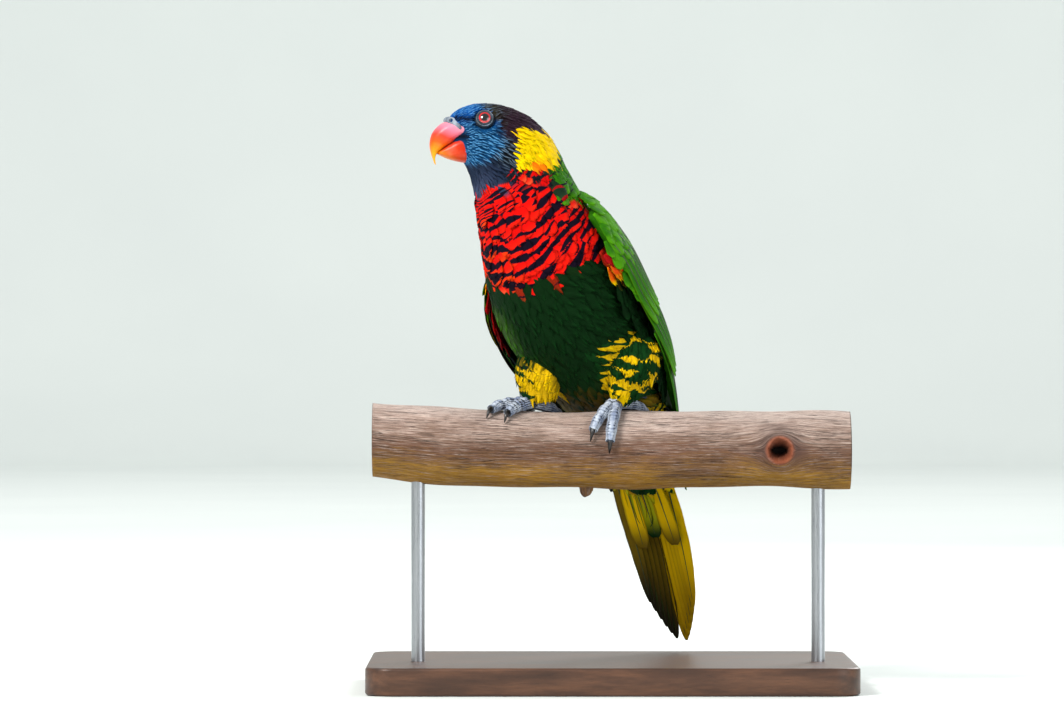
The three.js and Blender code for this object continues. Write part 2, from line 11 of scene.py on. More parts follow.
import bmesh
import bpy
import mathutils.kdtree
import numpy as np
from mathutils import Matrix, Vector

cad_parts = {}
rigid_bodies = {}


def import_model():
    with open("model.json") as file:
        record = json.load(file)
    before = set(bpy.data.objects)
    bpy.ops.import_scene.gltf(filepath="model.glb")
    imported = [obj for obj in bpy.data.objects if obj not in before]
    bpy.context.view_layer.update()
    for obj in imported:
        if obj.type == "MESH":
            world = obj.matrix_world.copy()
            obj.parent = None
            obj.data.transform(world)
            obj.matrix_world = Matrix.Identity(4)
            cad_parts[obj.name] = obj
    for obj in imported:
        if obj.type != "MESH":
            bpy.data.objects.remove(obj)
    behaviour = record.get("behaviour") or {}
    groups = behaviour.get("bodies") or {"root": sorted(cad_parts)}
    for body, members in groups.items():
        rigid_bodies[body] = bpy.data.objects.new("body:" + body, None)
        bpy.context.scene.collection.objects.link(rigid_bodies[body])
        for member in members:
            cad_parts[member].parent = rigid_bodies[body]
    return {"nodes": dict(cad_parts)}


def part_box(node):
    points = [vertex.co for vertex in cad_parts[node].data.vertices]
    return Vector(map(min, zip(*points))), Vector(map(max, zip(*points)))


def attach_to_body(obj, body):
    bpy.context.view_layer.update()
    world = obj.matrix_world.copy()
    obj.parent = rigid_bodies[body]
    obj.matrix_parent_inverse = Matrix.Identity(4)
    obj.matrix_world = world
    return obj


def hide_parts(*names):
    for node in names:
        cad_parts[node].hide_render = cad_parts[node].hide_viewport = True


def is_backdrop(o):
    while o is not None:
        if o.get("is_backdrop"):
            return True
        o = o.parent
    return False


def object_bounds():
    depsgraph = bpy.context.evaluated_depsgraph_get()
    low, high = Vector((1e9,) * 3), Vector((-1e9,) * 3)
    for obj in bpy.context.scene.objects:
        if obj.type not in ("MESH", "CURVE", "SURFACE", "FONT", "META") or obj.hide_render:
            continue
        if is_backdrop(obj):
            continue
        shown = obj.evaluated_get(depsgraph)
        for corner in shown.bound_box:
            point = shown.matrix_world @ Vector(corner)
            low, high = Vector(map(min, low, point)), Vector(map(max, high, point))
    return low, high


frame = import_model()
cad_box = [list(corner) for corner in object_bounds()]
print("nodes in the frame:", len(frame["nodes"]))

# %% [markdown]
# All sizes below are millimetres, as on the bird. The branch's middle is the place that the bird is
# measured from, with X along the branch and its front on the -Y side, so the frame's own boxes give where
# that middle is.

# %% Sizes and places that everything else hangs on
MM = 0.001
perch_low = np.array(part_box("perch")[0]) / MM
BRANCH_RADIUS = 17.0
BRANCH_FROM = -100.0
BRANCH_TO = 110.0
BRANCH_HEIGHT = 105.0
BRANCH_MIDDLE = np.array([perch_low[0] - BRANCH_FROM, -15.0, BRANCH_HEIGHT])
SEED = 7

# %% [markdown]
# Materials and Geometry Nodes are both small programs of nodes. Written as Python expressions they stay
# readable: a Wire stands for one value in such a program, and adding or multiplying it adds the Math node
# that does so.

# %% Node maths as Python expressions
class Wire:
    """One value in a tree of nodes."""

    def __init__(self, tree, socket):
        self.tree = tree
        self.socket = socket

    def math(self, operation, *others):
        sockets = dict(enumerate((self, *others)))
        return self.tree.node("ShaderNodeMath", {"operation": operation}, sockets)

    def __add__(self, other):
        return self.math("ADD", other)

    def __sub__(self, other):
        return self.math("SUBTRACT", other)

    def __mul__(self, other):
        return self.math("MULTIPLY", other)

    def __truediv__(self, other):
        return self.math("DIVIDE", other)

    def __rsub__(self, other):
        return self * -1 + other

    __radd__ = __add__
    __rmul__ = __mul__

    def size(self):
        return self.math("ABSOLUTE")

    def wave(self):
        return self.math("SINE")

    def step(self, low, high):
        """0 below low, 1 above high, and a smooth rise between."""
        sockets = {"Value": self, "From Min": low, "From Max": high}
        return self.tree.node("ShaderNodeMapRange", {"interpolation_type": "SMOOTHSTEP"}, sockets)

    def parts(self):
        """The three numbers of a vector."""
        made = self.tree.node("ShaderNodeSeparateXYZ", sockets={0: self}).socket.node
        return [Wire(self.tree, made.outputs[i]) for i in range(3)]

    def vector(self, operation, other, out=0):
        """Vector maths, where a plain number scales the vector."""
        key = 3 if operation == "SCALE" else 1
        return self.tree.node("ShaderNodeVectorMath", {"operation": operation}, {0: self, key: other}, out)


print("sums and products of wires ready")

# %% Trees of nodes and materials
class Tree:
    """A tree of nodes under construction."""

    def __init__(self, tree):
        self.tree = tree

    def node(self, kind, settings=None, sockets=None, out=0):
        """Adds a node, with its settings and the values or links of its sockets, and gives an output."""
        made = self.tree.nodes.new(kind)
        for key, value in (settings or {}).items():
            if key == "stops":
                ramp = made.color_ramp
                while len(ramp.elements) < len(value):
                    ramp.elements.new(1.0)
                for element, (place, colour) in zip(ramp.elements, value):
                    element.position = place
                    element.color = (*shade(colour), 1.0)
            else:
                setattr(made, key, value)
        for key, value in (sockets or {}).items():
            if isinstance(key, int):
                socket = made.inputs[key]
            else:
                socket = next(s for s in made.inputs if s.enabled and key in (s.identifier, s.name))
            if isinstance(value, Wire):
                self.tree.links.new(value.socket, socket)
            elif socket.type == "RGBA":
                socket.default_value = (*(shade(value) if isinstance(value, str) else value), 1.0)
            else:
                socket.default_value = value
        if isinstance(out, str):
            return Wire(self, next(s for s in made.outputs if s.enabled and out in (s.identifier, s.name)))
        return Wire(self, made.outputs[out])

    def joined(self, x, y, z):
        return self.node("ShaderNodeCombineXYZ", sockets={0: x, 1: y, 2: z})


class Finish(Tree):
    """A material: a Principled shader whose sockets are set to plain values or fed with wires."""

    def __init__(self, name, **constants):
        self.material = bpy.data.materials.new(name)
        self.material.use_nodes = True
        super().__init__(self.material.node_tree)
        self.shader = self.tree.nodes["Principled BSDF"]
        for socket, value in constants.items():
            self.set(socket.replace("_", " ").title().replace("Ior", "IOR"), value)

    def set(self, socket, value):
        if isinstance(value, Wire):
            self.tree.links.new(value.socket, self.shader.inputs[socket])
        else:
            self.shader.inputs[socket].default_value = value

    def read(self, name, out="Vector"):
        """What the mesh carries under a name: Fac for a number, Vector or Color for three."""
        return self.node("ShaderNodeAttribute", {"attribute_name": name}, out=out)

    def place(self, scale=(1, 1, 1), middle=(0, 0, 0)):
        """The point's own place on the object, in metres from middle, scaled."""
        here = self.node("ShaderNodeTexCoord", out="Object")
        return here.vector("SUBTRACT", tuple(middle)).vector("MULTIPLY", tuple(scale))

    def noise(self, vector, scale, detail=3.0, rough=0.55):
        sockets = {"Vector": vector, "Scale": scale, "Detail": detail, "Roughness": rough}
        return self.node("ShaderNodeTexNoise", sockets=sockets)

    def cells(self, vector, scale):
        return self.node("ShaderNodeTexVoronoi", sockets={"Vector": vector, "Scale": scale}, out="Distance")

    def ramp(self, value, stops):
        """A colour that runs through stops of (place, colour) as the value grows."""
        return self.node("ShaderNodeValToRGB", {"stops": stops}, {"Fac": value}, "Color")

    def blend(self, share, first, second, way="MIX"):
        """Two colours mixed: first where share is 0, second where it is 1."""
        sockets = {"Factor_Float": share, "A_Color": first, "B_Color": second}
        return self.node("ShaderNodeMix", {"data_type": "RGBA", "blend_type": way}, sockets, "Result_Color")

    def bump(self, height, depth):
        self.set("Normal", self.node("ShaderNodeBump", sockets={"Height": height, "Distance": depth}))


def shade(text):
    """A colour written as #rrggbb, as the shader wants it."""
    parts = [int(text[i : i + 2], 16) / 255 for i in (1, 3, 5)]
    return tuple(c / 12.92 if c <= 0.04045 else ((c + 0.055) / 1.055) ** 2.4 for c in parts)


print("trees and finishes ready")

# %% [markdown]
# The bird's body is a row of cross-sections from the bill's root over the head and down the trunk to the
# tail. Skin, feathers and wings are all laid on this one form, so that they agree with each other and with
# the frame.

# %% The form of the body
# The middle of each section, where it faces (degrees from -Y towards -X), the rise of its back direction
# above level, its half width, its depth to the back and to the front, and the half width and back depth of
# the wings.
BODY = np.array([
    [-63.2, -27.7, 136.0, 78, 108, 8.6, 9.6, 10.4, 0, 0],
    [-60.0, -27.0, 136.4, 78, 99, 11.8, 12.7, 13.2, 0, 0],
    [-54.2, -25.7, 135.2, 78, 84, 14.4, 16.4, 17.0, 0, 0],
    [-47.4, -24.3, 131.8, 76, 68, 15.8, 19.8, 20.2, 0, 0],
    [-41.2, -22.7, 126.6, 73, 53, 17.0, 22.3, 22.2, 0, 0],
    [-37.0, -21.0, 118.0, 66, 41, 19.0, 24.8, 23.4, 0, 0],
    [-30.0, -18.0, 100.5, 52, 33, 25.0, 25.0, 26.0, 24.5, 24.0],
    [-23.0, -12.0, 83.5, 43, 32, 30.0, 28.0, 29.8, 34.0, 31.0],
    [-15.0, -3.0, 62.0, 36, 36, 32.0, 28.5, 29.2, 37.0, 32.5],
    [-4.5, 10.5, 42.0, 31, 40, 30.0, 24.5, 25.0, 35.5, 28.5],
    [4.6, 26.0, 23.8, 28, 41, 24.5, 18.5, 16.5, 30, 21.5],
    [11.5, 39.0, 6.6, 28, 37, 19.0, 12.5, 10.5, 25, 16],
    [17.8, 49.0, -9.0, 29, 32, 15.0, 7.5, 7.5, 20, 10.5],
    [29.0, 66.5, -46.0, 31, 28, 9.0, 3.0, 3.0, 14, 6],
    [38.3, 85.0, -88.3, 31, 28, 4.0, 2.0, 2.0, 9, 4],
])
TRUNK_END = 12.0


def smooth(x, low, high):
    t = np.clip((np.asarray(x, float) - low) / (high - low), 0, 1)
    return t * t * (3 - 2 * t)


def unit(v):
    return v / np.maximum(np.linalg.norm(v, axis=-1, keepdims=True), 1e-9)


def bell(x, middle, width):
    """1 at the middle, and falling smoothly to nothing on both sides."""
    return np.exp(-(((x - middle) / width) ** 2))


def dot(a, b):
    return np.sum(a * b, -1, keepdims=True)


def grid(a, b):
    return np.meshgrid(a, b, indexing="ij")


def circle(count, whole=2 * np.pi):
    """Even turns round a full circle, without its end."""
    return np.linspace(0, whole, count, endpoint=False)


def between(rows, u):
    """A smooth value between the rows of a table, through all of them."""
    rows, u = np.asarray(rows, float), np.asarray(u, float)
    i = np.clip(np.floor(u).astype(int), 0, len(rows) - 2)
    t = (u - i)[..., None]
    a, b, c, d = (rows[np.clip(i + k, 0, len(rows) - 1)] for k in (-1, 0, 1, 2))
    return b + 0.5 * t * (c - a + t * (2 * a - 5 * b + 4 * c - d + t * (3 * (b - c) + d - a)))


def section(u):
    r = between(BODY, u)
    facing, rise = np.radians(r[..., 3]), np.radians(r[..., 4])
    flat = np.zeros_like(facing)
    left = np.stack([np.cos(facing), -np.sin(facing), flat], -1)
    ahead = np.stack([-np.sin(facing), -np.cos(facing), flat], -1)
    dorsal = -ahead * np.cos(rise)[..., None] + np.stack([flat, flat, np.sin(rise)], -1)
    middle = r[..., :3] + BRANCH_MIDDLE
    sizes = [r[..., k] for k in range(5, 10)]
    return SimpleNamespace(middle=middle, left=left, dorsal=dorsal, sizes=sizes)


def around(s, turn, wide, back, front):
    """A point round a section: turn 0 is its front, 90 the bird's left, 180 its back."""
    across, along = np.sin(np.radians(turn)), -np.cos(np.radians(turn))
    soft = lambda v: np.sign(v) * np.abs(v) ** 0.94
    deep = np.where(along > 0, back, front)
    return s.middle + s.left * (wide * soft(across))[..., None] + s.dorsal * (deep * soft(along))[..., None]


def on_body(u, turn, grow=0.0):
    s = section(u)
    wide, back, front = s.sizes[:3]
    return around(s, turn, wide + grow, back + grow, front + grow)


def on_wing(u, turn, lift=0.0):
    s = section(u)
    wide, back = s.sizes[3:]
    return around(s, turn, wide + lift, back + lift, back + lift)


print("body length along its middle:", round(sum(np.linalg.norm(np.diff(BODY[:, :3], axis=0), axis=1))), "mm")

# %% [markdown]
# The head is set a little differently from the smooth sections: sockets for the eyes, a brow, hollow lores
# in front of the eye and a full cheek. These are gentle pushes and pulls of the skin, given in the head's
# directions.

# %% The head's own directions and the modelling of the face
HEAD_FACING = math.radians(78)
HEAD_MIDDLE = np.array([-63.2, -27.7, 136.5]) + BRANCH_MIDDLE
HEAD_AHEAD = np.array([-math.sin(HEAD_FACING), -math.cos(HEAD_FACING), 0.0])
HEAD_LEFT = np.array([math.cos(HEAD_FACING), -math.sin(HEAD_FACING), 0.0])
HEAD_UP = np.array([0.0, 0.0, 1.0])
EYE_AHEAD, EYE_UP, EYE_OUT = -10.9, 7.2, 10.0
EYE_RADIUS = 4.1


def on_head(ahead, up, left=0.0):
    ahead, up, left = (np.asarray(v, float)[..., None] for v in (ahead, up, left))
    return HEAD_MIDDLE + HEAD_AHEAD * ahead + HEAD_UP * up + HEAD_LEFT * left


def head_places(p):
    d = p - HEAD_MIDDLE
    return d @ HEAD_AHEAD, d @ HEAD_UP, d @ HEAD_LEFT


def eye_axis(side):
    axis = HEAD_LEFT * side + HEAD_AHEAD * 0.2 + HEAD_UP * 0.34
    return axis / np.linalg.norm(axis)


def eye_middle(side):
    return on_head(EYE_AHEAD, EYE_UP, side * EYE_OUT)


def from_eye(p, side):
    """How far points are from the axis of an eye, and how far out along it."""
    d = p - eye_middle(side)
    out = d @ eye_axis(side)
    return np.linalg.norm(d - out[..., None] * eye_axis(side), axis=-1), out


def face(p):
    """How far the skin is pushed out, in millimetres, at points on the smooth head."""
    ahead, up, left = head_places(p)
    near = lambda a, b, c, size: np.exp(-(((ahead - a) ** 2 + (up - b) ** 2 + (np.abs(left) - c) ** 2)
                                          / size**2))
    push = 0.7 * near(-10, -3, 12, 7) - 0.9 * near(-3.4, 5.4, 11, 4) + 0.35 * near(-9, 14, 8, 5)
    push = push + 0.2 * smooth(up, 8, 15) * smooth(ahead, 2, -4)
    for side in (1, -1):
        away, out = from_eye(p, side)
        push = push - 2.2 * (1 - smooth(away, 3.2, 6.2)) * (out > 0)
        push = push + 0.45 * bell(away, 6.6, 1.6) * (out > 0)
    return push


print("the eyes are", round(2 * EYE_OUT + 2 * EYE_RADIUS, 1), "mm across the head")

# %% [markdown]
# The skin lies inside the solids by the depth of the coat, less on the face than on the belly. Surfaces are
# functions of a length and a turn, so feathers can ask any of them for a place, its outward direction and
# its lie.

# %% The surfaces that feathers grow from
def coat_depth(u):
    return np.interp(u, [0, 1, 3, 5, 7, 9, 11, 12], [0.35, 0.5, 0.9, 1.5, 2.0, 2.2, 1.6, 1.0])


CHEEK_SQUEEZE = 0.42
DOME = 0.5
DOME_AHEAD = 2.6


def skin(u, turn):
    """A place on the skin. Below u 0 the face closes over the root of the bill in a low dome."""
    u, turn = np.asarray(u, float), np.asarray(turn, float)
    trunk = np.maximum(u, 0)
    p = on_body(trunk, turn, -coat_depth(trunk))
    middle = section(trunk).middle
    out = unit(p - middle)
    p = p + out * (face(p) * (1 - smooth(u, 3.6, 4.6)))[..., None]
    ahead, up, left = head_places(p)
    squeeze = CHEEK_SQUEEZE * smooth(ahead, -8.0, -1.0) * smooth(up, 8.0, 3.0)
    p = p - HEAD_LEFT * (left * squeeze)[..., None]
    over = np.clip(-u, 0, DOME) / DOME * np.pi / 2
    return middle + (p - middle) * np.cos(over)[...,
                                                None] + HEAD_AHEAD * (DOME_AHEAD * np.sin(over))[..., None]


def inside_body(u):
    return section(np.maximum(u, 0.8)).middle


THIGHS = {
    "left": [[10, 0, 53, 9], [12.5, -4, 44, 13.5], [12.5, -5.5, 37, 14.2], [11.5, -5.5, 30.5, 11.5],
             [10, -5, 25.5, 8],
             [8.8, -4, 22.6, 5]],
    "right": [[-20, -1, 52, 8], [-24, -1.5, 43, 11], [-26, -1, 36, 11.8], [-26.5, 0, 30, 10.8],
              [-26, 1, 25.8, 9],
              [-25.5, 1, 23, 6]],
}
THIGH_COAT = 1.3


def thigh(name, u, turn, grow=-THIGH_COAT):
    """The feathered thigh from its top (0) to the foot (5). Turn 0 faces +X, and 90 the front."""
    rows = THIGHS[name]
    here, after = between(rows, u), between(rows, np.asarray(u, float) + 0.05)
    ahead = after[..., :3] - here[..., :3]
    ahead = ahead / np.linalg.norm(ahead, axis=-1, keepdims=True)
    across = np.array([1.0, 0, 0]) - ahead * ahead[..., :1]
    across = across / np.linalg.norm(across, axis=-1, keepdims=True)
    over = np.cross(ahead, across)
    t = np.radians(turn)[..., None]
    ring = across * np.cos(t) + over * np.sin(t)
    return here[..., :3] + BRANCH_MIDDLE + ring * (here[..., 3:] + grow)


WING_REAR = [[6.3, 148], [7.5, 161], [9, 166], [10.4, 164], [12.6, 138]]
WINGS = {
    "left": SimpleNamespace(
        side=1, held=[[6, 0], [13, 0]],
        front=[[6.3, 104], [7, 96], [8, 91.5], [9, 90.5], [10, 92], [12.6, 96]]),
    "right": SimpleNamespace(
        side=-1, held=[[6.6, 0], [7.3, -2.4], [9.3, -2.4], [10.2, 0]],
        front=[[6.3, 112], [7, 92], [7.5, 74], [8, 63], [8.7, 58], [9.3, 64], [10, 78], [12.6, 92]]),
}


def along(rows, u):
    """A value that eases from row to row of [place, value]."""
    places, values = np.array(rows, float).T
    i = np.clip(np.searchsorted(places, u, side="right") - 1, 0, len(places) - 2)
    t = np.clip((u - places[i]) / (places[i + 1] - places[i]), 0, 1)
    return values[i] + (values[i + 1] - values[i]) * t * t * (3 - 2 * t)


def wing_place(kind, u, share, lift=0.0):
    """A place on a folded wing: share 0 is its front edge and 1 its rear edge along the back."""
    u, share = np.asarray(u, float), np.asarray(share, float)
    turn = along(kind.front, u) + (along(WING_REAR, u) - along(kind.front, u)) * share
    return on_wing(u, kind.side * turn, lift + along(kind.held, u) * (1 - share) ** 2)


print("skin, thighs and wings can be asked for places")

# %% [markdown]
# The markings are painted once, as a function of the place on the body, and both the skin and every feather
# ask it. Each feather adds its own small shift, so borders between colours are ragged, as they are on the
# real bird.

# %% Colours and where they lie on the body
COLOURS = {
    name: np.array(shade(text))
    for name, text in {
        "forehead": "#0c52a4", "cheek": "#0b4474", "sky": "#6cb8ee", "lores": "#050d1c", "olive": "#2e2a1e",
        "hindcrown": "#2a1a24", "plum": "#503a4c", "ear": "#141a20", "mist": "#7d93a8", "throat": "#202c42",
        "slate": "#3e4a66", "violet": "#5c5a7c", "nape": "#ffd200", "lemon": "#ffe000", "orange": "#f25c05",
        "red": "#d80a06", "scarlet": "#ea1c0c", "coral": "#f4502c", "wine": "#7c0c10", "bar": "#12091a",
        "green": "#2c6e06", "leaf": "#50960c", "lime": "#c0c014", "forest": "#07260b", "moss": "#0c3612",
        "flank": "#33541a", "gold": "#d8ac0c", "night": "#0a1210", "tail_olive_and_shade": "#7a6412", "steel": "#26343e",
        "bronze": "#57480f",
    }.items()
}
PATCH_TURNS = [84, 96, 108, 122, 130, 136, 148, 165, 180]
PATCH_FROM = [4.3, 3.85, 3.62, 3.35, 3.65, 4.03, 4.45, 4.55, 4.55]
PATCH_TO = [4.45, 5.03, 5.16, 5.26, 5.28, 5.22, 5.15, 5.05, 5.0]
COLLAR_TURNS = [0, 26, 48, 64, 78, 88, 98, 102, 108, 136, 146, 150]
COLLAR_FROM = [3.93, 3.75, 4.0, 4.48, 4.85, 5.08, 5.4, 5.58, 5.75, 6.15, 6.9, 9]
BREAST_TURNS = [-180, -98, -44, -10, 42, 66, 98, 180]
BREAST_TO = [7.1, 7.05, 6.88, 7.2, 7.08, 7.12, 7.36, 7.3]
BAR_ROW, BAR_SPAN, THIGH_BAR = 0.27, 34.0, 3.7
BLUE_TURNS = [0, 30, 50, 65, 80, 95, 110, 125, 140, 160, 180]
BLUE_TO = [0.9, 1.3, 2.1, 2.7, 3.1, 3.2, 2.9, 2.45, 2.1, 1.95, 1.95]


def collar_top(turn):
    """How far along the body the red collar begins at a turn."""
    return np.interp(np.abs(turn), COLLAR_TURNS, COLLAR_FROM)


def breast_end(turn):
    return np.interp(turn, BREAST_TURNS, BREAST_TO)


def bar_rows(u, turn):
    """Rows of bars run round the body, and below the shoulders they climb towards the sides."""
    return u + 0.55 * smooth(np.abs(turn), 25, 110) * smooth(u, 5.4, 6.3)


def height_at(u, turn):
    """Millimetres above the branch's middle."""
    return on_body(u, turn)[..., 2] - BRANCH_MIDDLE[2]


def level_rows(u, turn):
    """Rows of bars that lie level, for the belly's part of the thighs."""
    return -height_at(u, turn) * BAR_ROW / THIGH_BAR


def thigh_zone(u, turn):
    """True where the belly carries the markings of the thigh that shows its bars."""
    height = height_at(u, turn)
    inner = np.interp(u, [8.2, 8.43, 8.72, 9.05, 9.3], [46, 38, 32, 26, 24])
    return (turn > inner) & (turn < 100) & (height < 41.5 + 7.0 * (turn > 68)) & (height > 20)


print("a palette of", len(COLOURS), "named colours")

# %% The colours that feathers carry
class Coat:
    """The colours of feathers at many places: of vane, rim, dark bar and pale shaft streak."""

    def __init__(self, count, base):
        self.base = np.tile(COLOURS[base], (count, 1))
        self.rim = self.base.copy()
        self.bar = np.zeros(count)
        self.streak = np.zeros(count)
        self.pale = np.tile(COLOURS["mist"], (count, 1))
        self.ink = np.tile(COLOURS["bar"], (count, 1))
        self.run, self.reach = np.zeros((2, count, 3))
        self.root = self.base

    def lay(self, share, base, rim=None, bar=0.0, streak=0.0, pale="mist", ink="bar"):
        """Lays other colours over those that are there, where share is above 0."""
        share = np.clip(share, 0, 1)
        for name, value in (("base", base), ("rim", rim or base), ("pale", pale), ("ink", ink)):
            old = getattr(self, name)
            setattr(self, name, old + (COLOURS[value] - old) * share[:, None])
        for name, value in (("bar", bar), ("streak", streak)):
            old = getattr(self, name)
            setattr(self, name, old + (value - old) * share)


print("each feather carries", len(vars(Coat(1, "green"))), "values")

# %% The markings, laid one over another
def markings(u, turn, shift=0.0, p=None, edge=0.008):
    """The coat's colours at places on the body. Shift moves each place a little along the body."""
    a = np.abs(turn)
    v = u + shift
    past = lambda turns, values, x=a, soft=edge: smooth(v - np.interp(x, turns, values), -soft, soft)
    coat = Coat(len(u), "throat")
    lay = coat.lay
    lay(smooth(a, 70, 20) * smooth(v, 2.0, 3.4), "slate", "violet")
    lay(smooth(a, 66, 84) * (1 - smooth(a, 100, 112)), "ear", streak=0.45)
    crown = smooth(a, 98, 112)
    lay(crown, "hindcrown", "plum", streak=0.15, pale="plum")
    lay(crown * (1 - smooth(v, 2.5, 3.2)), "olive", "hindcrown", streak=0.4)
    face_share = 1 - past(BLUE_TURNS, BLUE_TO, soft=0.3)
    lay(face_share, "cheek", streak=0.62, pale="sky")
    lay(face_share * smooth(a, 108, 132), "forehead", streak=0.6, pale="sky")
    # Painted shade: a dark stripe where the brow shades the lores, and dark skin in the gape between the bill
    # halves.
    if p is not None:
        ahead, up, left = head_places(p)
        brow_shadow = bell(up, 7.4, 1.2) * smooth(ahead, -9, -6.5) * (np.abs(left) > 4)
        gape_shade = bell(up, 0.2, 1.9) * smooth(ahead, -4.0, -2.8)
        lay(np.maximum(0.95 * brow_shadow, gape_shade), "lores")
    patch_from, patch_to = past(PATCH_TURNS, PATCH_FROM), past(PATCH_TURNS, PATCH_TO)
    hind = smooth(a, 100, 112) * patch_to
    lay(hind, "green", "leaf", bar=0.25)
    lay(hind * (np.sin(9 * v + 0.31 * turn) > 0.82), "night", "green")
    nape = (a > 84) * patch_from * (1 - patch_to)
    lay(nape, "nape", "lemon")
    low = bell(a, 104, 8) * smooth(v, 4.75,
                                                   5.0) + bell(a, 126, 6) * (v < 3.62)
    lay(nape * low, "orange")
    gap = smooth(a, 50, 62) * (1 - smooth(a, 102, 110)) * smooth(v, 4.1, 4.5) * (1 - nape)
    lay(gap, "ear", "throat")
    lay(gap * smooth(v, 4.3, 4.5), "ear", bar=0.75, ink="red")
    top = collar_top(turn)
    collar = smooth(v - top, -edge, edge) * (1 - smooth(a, 148, 152))
    lay(collar, "red", "scarlet", bar=1.0)
    lay(0.4 * collar * smooth(v, 5.7, 6.1) * smooth(turn, 24, 4), "scarlet", "orange", bar=1.0)
    lay(collar * (1 - smooth(v - top, 0.14, 0.3)), "scarlet", "coral")
    bottom = smooth(v - breast_end(turn), -edge, edge)
    lay(bottom, "forest", "moss")
    fringe = smooth(v, 6.84, 6.92) * (1 - bottom) * (turn > -18) * (turn < 14)
    lay(fringe, "scarlet", "coral")
    flank = bell(turn, -36, 14) * smooth(v, 7.3, 7.6) * (1 - smooth(v, 8.5, 9.0))
    lay(0.8 * flank, "flank", "leaf")
    lay(smooth(a, 100, 116) * smooth(v, 5.2, 6.2) * (1 - collar), "green", "leaf", bar=0.2)
    lay(smooth(v, 9.1, 9.4) * (1 - smooth(a, 70, 95)), "bronze", "moss")
    lay(smooth(v, 10.0, 10.6) * (1 - smooth(a, 70, 95)), "gold", "lime", bar=0.8, ink="moss")
    low = thigh_zone(v, turn)
    lay(low, "gold", "nape", bar=1.6, ink="moss")
    lay(low * smooth(turn, 64, 74) * smooth(height_at(v, turn), 44, 41), "moss", "lime", bar=1.6,
             ink="moss")
    thigh_right = (v > 8.6) & (turn < np.interp(v, [8.4, 8.7, 9.1, 9.5],
                                                [-18, -13, -15, -18])) & (turn > -60) & (v < 9.5)
    lay(thigh_right, "gold", "nape", bar=1.1 * (turn < -40), ink="moss")
    return coat


print("bars climb by", round(float(bar_rows(7.0, 110.0)) - 7.0, 2), "towards the sides")

# %% [markdown]
# A feather's vane is a thin closed leaf, fuller in the middle, with a torn outline. Three of each kind are
# enough: size, turn and place differ from feather to feather. Each corner carries where it lies on the
# leaf, so that one material can draw barbs, rim and shaft on every feather. Spot is the corner's true
# place, which the bars follow.

# %% The feathers that are repeated
def collection_of(name, meshes):
    made = bpy.data.collections.new(name)
    bpy.context.scene.collection.children.link(made)
    for i, mesh in enumerate(meshes):
        made.objects.link(bpy.data.objects.new(f"{name}_{i}", mesh))
    return made


def show(thing):
    """Puts an object into the scene."""
    bpy.context.scene.collection.objects.link(thing)


def carry(mesh, **attributes):
    """Stores named values at a mesh's points."""
    for key, values in attributes.items():
        values = np.asarray(values, np.float32)
        kind, slot = ("FLOAT", "value") if values.ndim == 1 else ("FLOAT_VECTOR", "vector")
        mesh.attributes.new(key, kind, "POINT").data.foreach_set(slot, values.ravel())


def mesh_of(name, points, faces, **attributes):
    """A mesh from points and faces, in metres, that carries named values at its points."""
    mesh = bpy.data.meshes.new(name)
    mesh.from_pydata(np.asarray(points).tolist(), [], faces)
    carry(mesh, **attributes)
    mesh.shade_smooth()
    mesh.update()
    return mesh


def leaf_mesh(name, outline, rows, columns, torn, rng):
    """One leaf, 1 long and 1 wide. Its outline is [length, half width] pairs, its edge more or less torn."""
    lengths, widths = np.array(outline).T
    y = 1 - (1 - np.linspace(0, 1, rows + 1)) ** 1.25
    x = np.linspace(-1, 1, columns + 1)
    half = np.interp(y, lengths, widths)
    grid_y, grid_x = grid(y, x)
    teeth = rng.uniform(-1, 1, columns + 1) + np.where(np.arange(columns + 1) % 2, 0.9, -0.5)
    grid_y = grid_y + torn * np.outer(smooth(y, 0.62, 1.0), teeth) * 0.09
    side = 1 + torn * 0.1 * rng.uniform(-1, 1, (rows + 1, 2))
    spread = half[:, None] * np.where(grid_x < 0, side[:, :1], side[:, 1:])
    tip_round = np.outer(smooth(y, 0.55, 1.0), x**2) * 0.12
    top = np.stack([grid_x * spread * 0.5, grid_y - tip_round,
                    (1 - grid_x**2) * (0.35 + 0.65 * half[:, None])], -1)
    points = list(top.reshape(-1, 3))
    # The third leaf value is 1 on top and 0 beneath; the material paints shade where it is low.
    leaf = list(np.stack([grid_x, np.clip(grid_y, 0, 1), 1 + 0 * grid_x], -1).reshape(-1, 3))
    n = columns + 1
    faces = [(r * n + c, r * n + c + 1, (r + 1) * n + c + 1, (r + 1) * n + c)
             for r in range(rows) for c in range(columns)]
    middle = len(points)
    under = top[:, columns // 2].copy()
    under[:, 2] = -0.25
    under[0, 2], under[-1, 2] = 0.1, 0.1
    points += list(under)
    leaf += [(0, v, 0) for v in y]
    for r in range(rows):
        a, b = r * n, (r + 1) * n
        faces += [(a, b, middle + r + 1, middle + r), (middle + r, middle + r + 1, b + columns, a + columns)]
    faces.append((*range(n), middle)[::-1])
    faces.append((*range(rows * n, rows * n + n), middle + rows))
    spot = [(2 * point[0], point[1], 0) for point in points]
    return mesh_of(name, points, faces, leaf=leaf, spot=spot)


print("meshes can carry named values")

